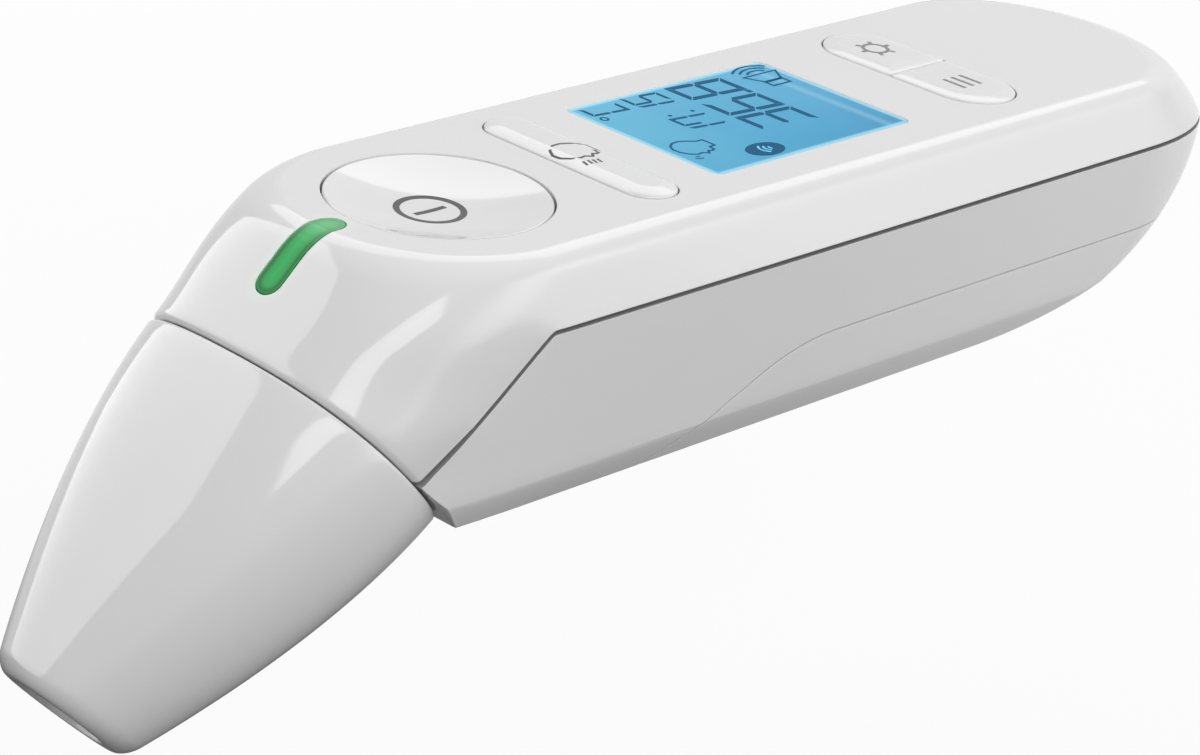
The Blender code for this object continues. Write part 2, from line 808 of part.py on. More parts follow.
def display():
    window = centred_plate(DISPLAY_HALF, 0.8, WINDOW_LOW, TOP_Z - 0.05)
    add("display_window", window, clear_plastic())
    add("lcd_panel", centred_plate(LCD_HALF, 0.4, *LCD_LEVELS), lcd_glass())
    add("backlight_plate", centred_plate(LCD_HALF, 0.4, *BACKLIGHT_LEVELS), blue_light_plate())
    tray = add("display_tray", centred_plate(TRAY_HALF, 0.8, *TRAY_LEVELS), grey_plastic())
    pocket = centred_plate([extent + GAP for extent in LCD_HALF], 0.4, TRAY_FLOOR, 24.0)
    boolean(tray, cutter("tray_pocket", pocket))
    boolean(tray, cutter("tray_slot", box((-10.0, -8.0, 16.0), (10.0, 8.0, 20.0))))


def main_board():
    low = BOARD_TOP - BOARD_THICK
    ring_low = (BOARD_X[0], -BOARD_HALF)
    ring_high = (BOARD_X[1], BOARD_HALF)
    radii = (9.0, 2.0, 2.0, 9.0)
    mesh = loft([rounded_rect(ring_low, ring_high, radii, z) for z in (low, BOARD_TOP)])
    board = add("main_board", mesh, board_green())
    for number, (x, y) in enumerate(BOSSES, 1):
        if x < 0:
            notch = rod((x, y, 14.0), (x, y, 20.0), BOSS_R + 0.4, 16)
            boolean(board, cutter(f"board_notch_{number}", notch))
    bottom = BOARD_TOP + GAP
    chip = box((-34.5, -4.0, bottom), (-26.5, 4.0, 18.9))
    add("controller_chip", bevelled(chip, 0.15), black_plastic())
    led = box((-53.2, -0.9, bottom), (-50.4, 0.9, 18.8))
    add("status_led", bevelled(led, 0.15), clear_plastic())
    sounder = [(0, bottom), (4.3, bottom), (4.3, 20.6), (1.0, 20.6), (1.0, 20.0), (0, 20.0)]
    add("buzzer", turned(sounder, Matrix.Translation((38.6, 0, 0)), 28), black_plastic())


def light_guide():
    guide = add("light_guide", outer_body(), green_plastic())
    boolean(guide, cutter("guide_pill", guide_prism(0.0, (-1.9, 8.0))), "INTERSECT")


# ---------------------------------------------------------------- probe and cap


def cap_ring(out, thickness=0.0, share=None):
    """The cap's section: share runs from 0 at the rim to 1 at the tip."""
    length = math.hypot(TIP_X - SEAM_X, TIP_Z - SEAM_Z)
    share = out / length if share is None else share
    grow = 1 - share**CAP_PROFILE
    height = CAP_TIP_R + (SEAM_HEIGHT - CAP_TIP_R) * grow - thickness
    width = CAP_TIP_R + (SEAM_WIDTH - CAP_TIP_R) * grow - thickness
    power = SEAM_POWER + (2.0 - SEAM_POWER) * share
    outward = Vector((-math.cos(SEAM_TILT), 0.0, -math.sin(SEAM_TILT)))
    start = Vector((SEAM_X, 0.0, SEAM_Z))
    centre = start + (Vector((TIP_X, 0.0, TIP_Z)) - start) * share
    frame = seam_frame()
    frame.translation = centre + outward * (out - share * length)
    return oval(height, width, power, 0.0, frame)


def cap_length():
    return math.hypot(TIP_X - SEAM_X, TIP_Z - SEAM_Z)


def forehead_cap():
    """A hollow bullet with a ledge near its rim and a round opening in its tip."""
    length = cap_length()
    rim = SEAM_GAP / 2
    outer = [cap_ring(out) for out in (rim, 5, 10, 15, 19.5, 23.5, 27.5, length - 1.58)]
    depth, reach = 1.07, 1.58
    for step in range(1, 4):
        angle = step / 3 * math.pi / 2
        out = length - reach * (1 - math.sin(angle))
        outer.append(cap_ring(out, depth * (1 - math.cos(angle)), (length - reach) / length))
    frame = seam_frame()
    frame.translation = Vector((TIP_X, 0.0, TIP_Z))
    recess = ((CAP_OPENING_R, 0.0), (CAP_OPENING_R, -1.4), (3.6, -1.4), (3.6, -2.4))
    opening = [oval(radius, radius, 2.0, depth, frame) for radius, depth in recess]
    ledge, rim_wall = 4.6, 1.9
    steps = (
        (29.0, CAP_WALL), (24.0, CAP_WALL), (18.0, CAP_WALL), (12.0, CAP_WALL), (6.6, CAP_WALL),
        (6.5, ledge), (4.0, ledge), (3.9, rim_wall), (rim, rim_wall),
    )
    inner = [cap_ring(out, thickness) for out, thickness in steps]
    mesh = loft(outer + opening + inner, ring_shaped=True)
    add("forehead_cap", mesh, white_plastic(), origin=(SEAM_X, 0.0, SEAM_Z))


def probe():
    frame = seam_frame()
    rings = [
        oval(SEAM_HEIGHT - inset, SEAM_WIDTH - inset, SEAM_POWER, out, frame)
        for inset, out in ((2.6, -3.2), (2.6, 3.3), (2.9, 3.6))
    ]
    collar = add("probe_collar", loft(rings), white_plastic())
    axis = probe_frame()
    bore = turned([(0, -9), (COLLAR_BORE_R, -9), (COLLAR_BORE_R, 9), (0, 9)], axis)
    boolean(collar, cutter("collar_bore", bore))
    behind, ahead = (frame @ Vector((-PLUNGER_DROP, 0, out)) for out in (-6, 6))
    boolean(collar, cutter("plunger_bore", rod(behind, ahead, PLUNGER_BORE_R, 12)))
    length = cap_length()
    tip = length - 3.1
    cone = [
        (4.9, -2.5), (7.2, -2.5), (7.2, 4.9), (8.0, 4.9), (8.0, 6.0), (6.9, 9.0), (5.6, 16.0),
        (4.6, 23.0), (4.0, tip - 1.2), (3.4, tip - 0.3), (2.9, tip), (2.5, tip), (2.5, 24.0), (4.0, 9.0),
        (4.9, 6.0),
    ]
    add("probe_cone", turned(cone, axis), white_plastic())
    seal = [(7.5, 4.2), (7.9, 4.1), (8.1, 4.25), (8.1, 4.5), (7.9, 4.65), (7.5, 4.6)]
    add("probe_seal", turned(seal, axis), silicone())
    return tip, axis


def sensor(tip, axis):
    """The infrared sensor in its barrel at the end of the probe, and its flexible cable."""
    barrel = [
        (1.5, -3.4), (4.5, -3.4), (4.5, 5.4), (3.6, 8.6), (2.15, 24.0), (2.15, tip - 4.2),
        (1.5, tip - 4.2),
    ]
    add("sensor_barrel", turned(barrel, axis), steel())
    can_low, can_high = tip - 3.8, tip - 1.2
    can = [
        (0, can_low), (2.1, can_low), (2.1, can_low + 0.5), (1.9, can_low + 0.6), (1.9, can_high),
        (0, can_high),
    ]
    add("thermopile_sensor", turned(can, axis, 20), steel())
    lens = [(0, tip - 0.9), (2.2, tip - 0.9), (2.2, tip - 0.35), (0, tip - 0.35)]
    add("sensor_window", turned(lens, axis, 20), grey_plastic())
    start = axis @ Vector((0.0, 0.0, -3.8))
    turn = axis @ Vector((0.0, 0.0, -6.1))
    points = [(start.x, start.z), (turn.x, turn.z), (turn.x, 14.8), (-51.6, 15.85)]
    line = [points[0]]
    for index in range(1, len(points) - 1):
        line += arc_corner(points[index - 1], points[index], points[index + 1], 0.9, 3)
    line.append(points[-1])
    ribbon = shifted(line, 0.12) + list(reversed(shifted(line, -0.12)))
    add("sensor_cable", prism(ribbon, -2.5, 2.5), copper_film())


def cap_detector():
    """A plunger through the collar that the cap's ledge holds in, and its switch behind."""
    frame = seam_frame()
    start = frame @ Vector((-PLUNGER_DROP, 0, -3.9))
    end = frame @ Vector((-PLUNGER_DROP, 0, 3.55))
    add("cap_plunger", rod(start, end, PLUNGER_R, 12), grey_plastic(), origin=end)
    mesh = bevelled(box((-10.4, -2.2, -6.6), (-7.2, 2.2, -4.9)), 0.2)
    bmesh.ops.transform(mesh, matrix=frame, verts=mesh.verts)
    add("cap_switch", mesh, black_plastic())


# ---------------------------------------------------------------- battery and fasteners


def cell(name, y, nub_x, end_x):
    """A round cell along X: nub_x is its raised end and end_x its flat end."""
    toward = 1 if nub_x > end_x else -1
    length = abs(nub_x - end_x)
    profile = [
        (0, 0), (CELL_R - 0.4, 0), (CELL_R, 0.4), (CELL_R, length - 1.3), (CELL_R - 0.4, length - 0.9),
        (1.9, length - 0.9), (1.7, length), (0, length),
    ]
    frame = placement(Vector((end_x, y, CELL_Z)), Vector((0, 1, 0)), Vector((toward, 0, 0)))
    add(name, turned(profile, frame), cell_jacket())


def coil(name, y, start_x, end_x, wide, narrow, turns=3.0, wire=0.3):
    """A conical wire spring along X, made into a mesh so that it can join its plate."""
    curve = bpy.data.curves.new(name, "CURVE")
    curve.dimensions = "3D"
    curve.bevel_depth = wire * MM
    curve.bevel_resolution = 2
    curve.use_fill_caps = True
    count = 33
    spline = curve.splines.new("POLY")
    spline.points.add(count - 1)
    for index in range(count):
        share = index / (count - 1)
        radius = wide + (narrow - wide) * share
        angle = share * turns * math.tau
        x = start_x + (end_x - start_x) * share
        point = Vector((x, y + radius * math.cos(angle), CELL_Z + radius * math.sin(angle))) * MM
        spline.points[index].co = (*point, 1.0)
    holder = bpy.data.objects.new(name + "_path", curve)
    bpy.data.collections[CUTTERS].objects.link(holder)
    bpy.context.view_layer.update()
    drawn = holder.evaluated_get(bpy.context.evaluated_depsgraph_get())
    data = bpy.data.meshes.new_from_object(drawn)
    bpy.data.objects.remove(holder)
    mesh = bmesh.new()
    mesh.from_mesh(data)
    bmesh.ops.remove_doubles(mesh, verts=mesh.verts, dist=1e-6)
    bmesh.ops.scale(mesh, vec=(1 / MM,) * 3, verts=mesh.verts)
    return cutter(name, mesh)


def strip(name, x, low_y, high_y):
    """A flat contact strip across the bay, with its near face at x."""
    low, high = CONTACT_LEVELS
    return add(name, box((x, low_y, low), (x + CONTACT_THICK, high_y, high)), nickel())


def contacts():
    """Strips at both ends of the two cells; the negative ends sit against springs."""
    nose, tail = CONTACT_NOSE_X, CONTACT_TAIL_X
    inner, outer = CONTACT_Y
    flat = strip("contact_positive", nose, inner, outer)
    bump = rod((nose + 0.2, CELL_Y, CELL_Z), (nose + 0.7, CELL_Y, CELL_Z), 1.6, 16)
    boolean(flat, cutter("contact_bump", bump), "UNION")
    sprung = strip("contact_negative", nose, -outer, -inner)
    boolean(sprung, coil("nose_coil", -CELL_Y, nose + 0.35, -1.9, *COIL_RADII), "UNION")
    bridge = strip("contact_bridge", tail, -outer, outer)
    boolean(bridge, coil("tail_coil", CELL_Y, tail + 0.05, 39.0, *COIL_RADII), "UNION")


def batteries():
    cell("cell_1", -CELL_Y, *CELL_1_ENDS)
    cell("cell_2", CELL_Y, *CELL_2_ENDS)
    contacts()


def case_screws():
    """A pan head under each boss and a shank up into it."""
    for number, (x, y) in enumerate(BOSSES, 1):
        seat = SCREW_SEAT if x < 0 else WEB[0]
        head = seat - GAP
        profile = [
            (0, head - 1.0), (0.8, head - 1.6), (1.6, head - 1.5), (2.0, head - 1.0), (2.0, head),
            (1.0, head), (1.0, head + 7.0), (0.6, head + 7.6), (0, head + 7.6),
        ]
        add(f"case_screw_{number}", turned(profile, Matrix.Translation((x, y, 0)), 12), steel())


def main():
    clear_scene()
    cut = shell_cutters()
    upper_housing(cut)
    lower_housing(cut)
    battery_door(cut)
    light_guide()
    power_button()
    pill_buttons()
    key_switches()
    display()
    main_board()
    forehead_cap()
    tip, axis = probe()
    sensor(tip, axis)
    cap_detector()
    batteries()
    case_screws()


main()
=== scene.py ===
"""Looks for the infrared ear thermometer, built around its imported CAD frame.

The shells, the cap, the keys and the light guide are rebuilt here from the same curves as
the CAD, with more points and rounded edges. Lengths are in millimetres until a mesh is made.
"""

import json
import math

import bmesh
import bpy
from mathutils import Matrix, Quaternion, Vector


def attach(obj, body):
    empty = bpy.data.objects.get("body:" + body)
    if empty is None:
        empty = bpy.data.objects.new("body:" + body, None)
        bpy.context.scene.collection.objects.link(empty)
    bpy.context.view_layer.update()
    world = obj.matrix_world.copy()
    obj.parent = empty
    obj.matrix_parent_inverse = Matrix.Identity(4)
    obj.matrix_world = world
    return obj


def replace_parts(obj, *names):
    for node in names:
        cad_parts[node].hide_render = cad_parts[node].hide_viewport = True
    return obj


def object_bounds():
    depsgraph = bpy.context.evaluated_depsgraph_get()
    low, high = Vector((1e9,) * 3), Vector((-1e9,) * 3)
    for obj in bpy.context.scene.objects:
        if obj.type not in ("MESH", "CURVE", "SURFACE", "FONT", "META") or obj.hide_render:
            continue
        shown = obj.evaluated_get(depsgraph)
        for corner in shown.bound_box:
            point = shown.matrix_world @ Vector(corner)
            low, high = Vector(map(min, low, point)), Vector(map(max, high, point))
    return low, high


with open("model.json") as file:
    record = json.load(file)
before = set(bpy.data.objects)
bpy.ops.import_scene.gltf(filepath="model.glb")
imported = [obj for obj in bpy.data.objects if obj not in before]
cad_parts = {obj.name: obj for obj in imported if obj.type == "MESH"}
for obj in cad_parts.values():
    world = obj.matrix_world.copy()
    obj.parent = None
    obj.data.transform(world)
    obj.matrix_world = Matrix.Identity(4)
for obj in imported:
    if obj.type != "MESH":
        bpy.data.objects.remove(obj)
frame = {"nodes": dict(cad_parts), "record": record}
cad_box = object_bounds()

MM = 0.001
WELD = 0.02
SLIVER = 0.01
GAP = 0.3
SEAM_GAP = 0.22
PARTING_GAP = 0.42
DOOR_GAP = 0.1
WALL = 2.0
FLOOR_STEP = 0.8
BEYOND = 30.0
BELOW = -12.0
PAST_NOSE_X = -75.0
PAST_TAIL_X = 90.0
FLARE = math.radians(8)

# The case: half widths at three levels, edge rounding, and how nose and tail lean.
TOP_Z = 25.0
PARTING_Z = 18.05
PARTING_HALF = 18.0
TOP_HALF = 16.3
BOTTOM_HALF = 17.26
TOP_ROUND = 1.7
BOTTOM_ROUND = (1.36, 3.2)
BOTTOM_ROUND_POWER = 1.2
NOSE_CENTRE_X = -41.4
NOSE_REACH = 16.0
NOSE_SLOPE = 1.044
NOSE_STEADY_Z = 7.2
NOSE_EASE_Z = 14.0
TOP_POWER_SLOPE = 3.0
NOSE_SOFT = 0.5
NOSE_FADE = 7.0
TAIL_START_X = 46.0
TAIL_TOP_X = 59.4
TAIL_PARTING_X = 66.8
TAIL_BOTTOM_X = 34.0
TAIL_PROFILE = (1.3, 2.0)
TAIL_TOP_POWER, TAIL_POWER_RISE = 1.98, 0.59
TAIL_PARTING_POWER, TAIL_POWER_FALL = 2.57, 0.416
TAIL_SHORTENING = 9.75
QUARTER = 29

# The slanted seam between case and cap, an upright oval, and the cap's round tip.
SEAM_X = -57.87
SEAM_Z = 6.61
SEAM_TILT = math.radians(43.45)
SEAM_HEIGHT = 12.96
SEAM_WIDTH = 16.34
SEAM_POWER = 2.425
TIP_X = -83.5
TIP_Z = -15.67
CAP_TIP_R = 6.97
CAP_PROFILE = 1.733
CAP_WALL = 1.6

# Lines seen on the side: the parting between the shells and the edge of the battery door.
PARTING_BEND_X = -43.2
JUNCTION_Z = 6.1
DOOR_Z = 8.6
DOOR_BEND_X = -3.8
DOOR_FRONT_X = -27.5

# Keys, display and light guide in the top face, then what is cut away inside.
POWER_X = -41.4
POWER_R = 10.8
POWER_DISH = 1.6
MODE_X = -22.9
MODE_HALF = (2.87, 12.0)
PAIR_X = 28.1
PAIR_HALF = (4.6, 11.9)
PAIR_KEY_Y = 6.0
MODE_PROUD = 0.62
PAIR_PROUD = 0.4
KEY_GAP = 0.17
KEY_FLANGE = 0.9
FLANGE_LOW = 21.8
FLANGE_HIGH = TOP_Z - WALL - GAP
CROWN_WIDTH = 1.7
DISPLAY_HALF = (14.35, 10.35)
WINDOW_LOW = 23.3
GUIDE_ENDS = ((-53.4, 25.0), (-62.6, 20.2))
GUIDE_WIDTH = 2.8
WEB = (13.6, 15.0)
BAY_FRONT = (-24.0, -22.4)
BOSSES = ((-33.0, -11.5), (-33.0, 11.5), (50.0, -9.0), (50.0, 9.0))
BOSS_R = 2.1
PILOT_R = 1.35
SCREW_BORE_R = 1.5
HEAD_WELL_R = 2.4
HEAD_TUBE_R = 3.3
SMOOTH_ANGLE = math.radians(32)
PRINT_HIGH = 0.02
PRINT_DEEP = 0.06
STREAK_X = 11.8
STREAK_HALF = 0.9
BORDER_START = 0.62
BORDER_FADE = 0.6

# Camera in the frame's metres, then the strengths of the studio. FLOOR_DROP leaves room
# below the resting object for the cap, which is drawn off downwards along the nose.
CAMERA_PLACE = (-0.255986, -0.216460, 0.141987)
CAMERA_RIGHT = (0.697908, -0.710025, 0.093746)
CAMERA_UP = (0.227833, 0.344204, 0.910832)
CAMERA_BACK = (-0.678982, -0.614319, 0.401990)
CAMERA_LENS = 105.84
CAMERA_SENSOR = 36.0
WORLD_LIGHT = 0.5
FLOOR_TONE = 0.10
FLOOR_GLOW = 0.85
FLOOR_BACK = 0.75
FLOOR_DROP = 31.0
WORLD_BACK = 0.35
WORLD_SEEN = 1.05
PANEL_DISTANCE = 0.9


# ---------------------------------------------------------------- mesh helpers


tools = []


def make(name, mesh, surface=None):
    """An object from a bmesh drawn in millimetres."""
    bmesh.ops.recalc_face_normals(mesh, faces=mesh.faces)
    data = bpy.data.meshes.new(name)
    mesh.to_mesh(data)
    mesh.free()
    data.transform(Matrix.Scale(MM, 4))
    obj = bpy.data.objects.new(name, data)
    bpy.context.scene.collection.objects.link(obj)
    if surface:
        data.materials.append(surface)
        data.shade_smooth()
        data.set_sharp_from_angle(angle=SMOOTH_ANGLE)
    return obj


def tool(mesh):
    """A shape that only cuts or limits others; drop_tools() clears it away."""
    obj = make(f"tool_{len(tools)}", mesh)
    tools.append(obj)
    return obj


def combine(obj, other, operation="DIFFERENCE"):
    modifier = obj.modifiers.new("boolean", "BOOLEAN")
    modifier.operation = operation
    modifier.solver = "EXACT"
    modifier.object = other


def bake(obj, surface):
    """Applies the modifiers, welds slivers and gives the piece its finish."""
    bpy.context.view_layer.update()
    graph = bpy.context.evaluated_depsgraph_get()
    data = bpy.data.meshes.new_from_object(obj.evaluated_get(graph))
    obj.modifiers.clear()
    mesh = bmesh.new()
    mesh.from_mesh(data)
    bmesh.ops.remove_doubles(mesh, verts=mesh.verts, dist=WELD * MM)
    bmesh.ops.dissolve_degenerate(mesh, edges=mesh.edges, dist=SLIVER * MM)
    mesh.to_mesh(data)
    mesh.free()
    data.materials.clear()
    data.materials.append(surface)
    obj.data = data
    data.shade_smooth()
    data.set_sharp_from_angle(angle=SMOOTH_ANGLE)
    even = obj.modifiers.new("even_normals", "WEIGHTED_NORMAL")
    even.keep_sharp = True
    return obj


def stand_in(obj, body, replaced):
    """Lets a piece ride on a body in place of a CAD node."""
    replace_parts(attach(obj, body), replaced)


def drop_tools():
    for obj in tools:
        bpy.data.objects.remove(obj, do_unlink=True)
    tools.clear()


def bridge(mesh, rows, closed):
    """Faces from each row of points to the next, and if closed from the last to the first."""
    pairs = list(zip(rows, rows[1:]))
    if closed:
        pairs.append((rows[-1], rows[0]))
    for low, high in pairs:
        for i in range(len(low)):
            j = (i + 1) % len(low)
            mesh.faces.new((low[i], low[j], high[j], high[i]))


def draw_out(mesh, outline, offset):
    """A solid from a flat outline moved along an offset."""
    face = mesh.faces.new([mesh.verts.new(point) for point in outline])
    grown = bmesh.ops.extrude_face_region(mesh, geom=[face])
    moved = [item for item in grown["geom"] if isinstance(item, bmesh.types.BMVert)]
    bmesh.ops.translate(mesh, verts=moved, vec=offset)


def loft(rings, ring_shaped=False):
    """A skin over rings of equal length, with end faces or closed round onto its start."""
    mesh = bmesh.new()
    rows = [[mesh.verts.new(point) for point in ring] for ring in rings]
    bridge(mesh, rows, ring_shaped)
    bmesh.ops.triangulate(mesh, faces=mesh.faces)
    if not ring_shaped:
        mesh.faces.new(rows[0])
        mesh.faces.new(rows[-1])
    return mesh


def box(low, high):
    mesh = bmesh.new()
    bmesh.ops.create_cube(mesh, size=1.0)
    size = Vector(high) - Vector(low)
    middle = (Vector(high) + Vector(low)) / 2
    grown = Matrix.Translation(middle) @ Matrix.Diagonal((*size, 1))
    bmesh.ops.transform(mesh, matrix=grown, verts=mesh.verts)
    return mesh


def rod(start, end, radius, sides=48):
    start, end = Vector(start), Vector(end)
    along = end - start
    mesh = bmesh.new()
    bmesh.ops.create_cone(
        mesh, cap_ends=True, segments=sides, radius1=radius, radius2=radius, depth=along.length
    )
    turn = along.to_track_quat("Z", "Y").to_matrix().to_4x4()
    placed = Matrix.Translation((start + end) / 2) @ turn
    bmesh.ops.transform(mesh, matrix=placed, verts=mesh.verts)
    return mesh


def turned(profile, placed=Matrix.Identity(4), sides=96):
    """A turned solid: profile is (radius, height) pairs, closed on the axis or on itself."""
    mesh = bmesh.new()
    points = [mesh.verts.new((radius, 0.0, height)) for radius, height in profile]
    edges = [mesh.edges.new(pair) for pair in zip(points, points[1:])]
    if profile[0][0] > 0:
        edges.append(mesh.edges.new((points[-1], points[0])))
    bmesh.ops.spin(
        mesh, geom=points + edges, cent=(0, 0, 0), axis=(0, 0, 1), angle=math.tau,
        steps=sides, use_merge=True,
    )
    bmesh.ops.remove_doubles(mesh, verts=mesh.verts, dist=1e-4)
    bmesh.ops.transform(mesh, matrix=placed, verts=mesh.verts)
    return mesh


def prism(outline, low, high):
    """An outline in the XZ plane, drawn out along Y."""
    mesh = bmesh.new()
    draw_out(mesh, [(x, low, z) for x, z in outline], (0.0, high - low, 0.0))
    return mesh


# ---------------------------------------------------------------- outlines shared with the CAD


def rounded_rect(low, high, radii, z, corner=14):
    """A rectangle with four corner radii, anticlockwise from its low corner."""
    corners = (
        (low[0], low[1], 1, 1), (high[0], low[1], -1, 1),
        (high[0], high[1], -1, -1), (low[0], high[1], 1, -1),
    )
    ring = []
    for number, ((x, y, to_x, to_y), radius) in enumerate(zip(corners, radii)):
        start = math.pi + number * math.pi / 2
        for step in range(corner + 1):
            angle = start + step / corner * math.pi / 2
            across = x + to_x * radius + radius * math.cos(angle)
            ring.append((across, y + to_y * radius + radius * math.sin(angle), z))
    return ring


# Cosine and sine of a superellipse, whose outline is |x|**exponent + |y|**exponent = 1.


def power_cos(angle, exponent):
    value = math.cos(angle)
    return math.copysign(abs(value) ** (2 / exponent), value)


def power_sin(angle, exponent):
    value = math.sin(angle)
    return math.copysign(abs(value) ** (2 / exponent), value)


def half_width(z):
    """Half width of the case at level z, widest at the parting."""
    if z >= PARTING_Z:
        share = (TOP_Z - z) / (TOP_Z - PARTING_Z)
        return TOP_HALF + (PARTING_HALF - TOP_HALF) * share
    return BOTTOM_HALF + (PARTING_HALF - BOTTOM_HALF) * z / PARTING_Z


def seam_half_width(z):
    """Half width of the seam oval where it crosses level z, and its x there."""
    up = (z - SEAM_Z) / math.cos(SEAM_TILT)
    x = SEAM_X - up * math.sin(SEAM_TILT)
    return SEAM_WIDTH * max(0.0, 1 - abs(up / SEAM_HEIGHT) ** SEAM_POWER) ** (1 / SEAM_POWER), x


def nose_width(z):
    """Half width of the nose at level z; the bend at the parting level fades out here."""
    upper = TOP_HALF + (PARTING_HALF - TOP_HALF) * (TOP_Z - z) / (TOP_Z - PARTING_Z)
    lower = BOTTOM_HALF + (PARTING_HALF - BOTTOM_HALF) * z / PARTING_Z
    softened = NOSE_SOFT * math.log1p(math.exp(-abs(upper - lower) / NOSE_SOFT))
    return min(upper, lower) - softened


def rim_power(z):
    """The superellipse power that brings the nose outline at level z onto the cap's rim."""
    level = max(z, NOSE_STEADY_Z)
    width, x = seam_half_width(level)
    along = (NOSE_CENTRE_X - x) / (NOSE_REACH + NOSE_SLOPE * (TOP_Z - level))
    across = width / nose_width(level)
    low, high = 1.2, 8.0
    for _ in range(40):
        power = (low + high) / 2
        if along**power + across**power > 1:
            low = power
        else:
            high = power
    return power


def nose_power(z):
    """Power of the nose outline: that of the cap's rim, easing into the top face's ellipse."""
    if z <= NOSE_EASE_Z:
        return rim_power(z)
    span = TOP_Z - NOSE_EASE_Z
    rim = rim_power(NOSE_EASE_Z)
    rim_slope = (rim_power(NOSE_EASE_Z - 0.2) - rim) / 0.2 * span
    share = (TOP_Z - z) / span
    square, cube = share**2, share**3
    from_top = (2 * cube - 3 * square + 1) * 2.0 + (cube - 2 * square + share) * TOP_POWER_SLOPE
    return from_top + (3 * square - 2 * cube) * rim + (cube - square) * rim_slope


def tail_reach(z):
    """The tail at level z: where it ends, where its curve starts, and the curve's power."""
    if z >= PARTING_Z:
        share = (TOP_Z - z) / (TOP_Z - PARTING_Z)
        swell = max(0.0, 1 - (1 - share) ** TAIL_PROFILE[0]) ** (1 / TAIL_PROFILE[0])
        reach = TAIL_TOP_X + (TAIL_PARTING_X - TAIL_TOP_X) * swell
        return reach, TAIL_START_X, TAIL_TOP_POWER + TAIL_POWER_RISE * share
    share = (PARTING_Z - z) / PARTING_Z
    swell = max(0.0, 1 - share ** TAIL_PROFILE[1]) ** (1 / TAIL_PROFILE[1])
    reach = TAIL_BOTTOM_X + (TAIL_PARTING_X - TAIL_BOTTOM_X) * swell
    length = (TAIL_PARTING_X - TAIL_START_X) - TAIL_SHORTENING * share
    return reach, reach - length, TAIL_PARTING_POWER - TAIL_POWER_FALL * share


def edge_inset(z):
    """How far the rounded edges at the bottom and the top draw the outline in."""
    depth, rise = BOTTOM_ROUND
    if z < rise:
        return depth * (1 - z / rise) ** BOTTOM_ROUND_POWER
    start = TOP_Z - TOP_ROUND
    if z > start:
        return TOP_ROUND - math.sqrt(max(0.0, TOP_ROUND**2 - (z - start) ** 2))
    return 0.0


def body_ring(z, inset=0.0):
    """The case's outline at level z: nose, side, tail and the mirror image of all three."""
    width = half_width(z) - inset
    nose = NOSE_REACH + NOSE_SLOPE * (TOP_Z - z) - inset
    reach, start, tail = tail_reach(z)
    reach -= inset
    power = nose_power(z)
    soft_width = nose_width(z) - inset
    side = []
    for step in range(QUARTER):
        angle = step / (QUARTER - 1) * math.pi / 2
        x = NOSE_CENTRE_X - nose * power_cos(angle, power)
        fade = min(1.0, (NOSE_CENTRE_X - x) / NOSE_FADE)
        fade *= fade * (3 - 2 * fade)
        side.append((x, (width + (soft_width - width) * fade) * power_sin(angle, power)))
    for step in range(QUARTER):
        angle = step / (QUARTER - 1) * math.pi / 2
        x = start + (reach - start) * power_sin(angle, tail)
        side.append((x, width * power_cos(angle, tail)))
    near = [(x, -y, z) for x, y in side]
    far = [(x, y, z) for x, y in reversed(side[1:-1])]
    return near + far


def outer_body():
    rise = BOTTOM_ROUND[1]
    low = [rise * (1 - math.cos(step * math.pi / 20)) for step in range(10)]
    middle = [rise + (PARTING_Z - rise) * step / 12 for step in range(13)]
    start = TOP_Z - TOP_ROUND
    upper = [PARTING_Z + (start - PARTING_Z) * step / 8 for step in range(1, 8)]
    high = [start + TOP_ROUND * math.sin(step * math.pi / 18) for step in range(10)]
    return loft([body_ring(z, edge_inset(z)) for z in low + middle + upper + high])


def inner_body():
    levels = (WALL, 3.0, 4.2, 6.0, 8.0, 10.5, 12.5, 14.0, 15.6, PARTING_Z, 20.5, TOP_Z - WALL)
    return loft([body_ring(z, WALL + (FLOOR_STEP if z == WALL else 0.0)) for z in levels])


def placement(centre, x_axis, z_axis):
    y_axis = z_axis.cross(x_axis)
    turn = Matrix((x_axis, y_axis, z_axis)).transposed().to_4x4()
    return Matrix.Translation(centre) @ turn


def seam_frame():
    """The seam's middle: X up along the seam, Y across, Z out through the cap."""
    outward = Vector((-math.cos(SEAM_TILT), 0.0, -math.sin(SEAM_TILT)))
    upward = Vector((-math.sin(SEAM_TILT), 0.0, math.cos(SEAM_TILT)))
    return placement(Vector((SEAM_X, 0.0, SEAM_Z)), upward, outward)


def oval(height, width, power, out, placed, count=96):
    ring = []
    for step in range(count):
        angle = step / count * math.tau
        local = Vector((height * power_cos(angle, power), width * power_sin(angle, power), out))
        ring.append(placed @ local)
    return ring


def arc_corner(before, corner, after, radius, steps=8):
    """Points of the arc that rounds off a corner between two straight lines."""
    corner = Vector(corner)
    first = (Vector(before) - corner).normalized()
    second = (Vector(after) - corner).normalized()
    half = first.angle(second) / 2
    reach = radius / math.tan(half)
    centre = corner + (first + second).normalized() * radius / math.sin(half)
    start = corner + first * reach - centre
    turn = math.pi - 2 * half
    side = 1 if start.x * second.y - start.y * second.x > 0 else -1
    points = []
    for step in range(steps + 1):
        angle = side * turn * step / steps
        points.append((
            centre.x + start.x * math.cos(angle) - start.y * math.sin(angle),
            centre.y + start.x * math.sin(angle) + start.y * math.cos(angle),
        ))
    return points


def parting_line():
    outside = (PAST_NOSE_X, JUNCTION_Z)
    junction = (-57.0, JUNCTION_Z)
    bend = (PARTING_BEND_X, PARTING_Z)
    tail = (PAST_TAIL_X, PARTING_Z)
    nose_turn = arc_corner(outside, junction, bend, 1.2)
    return [outside, *nose_turn, *arc_corner(junction, bend, tail, 1.6), tail]


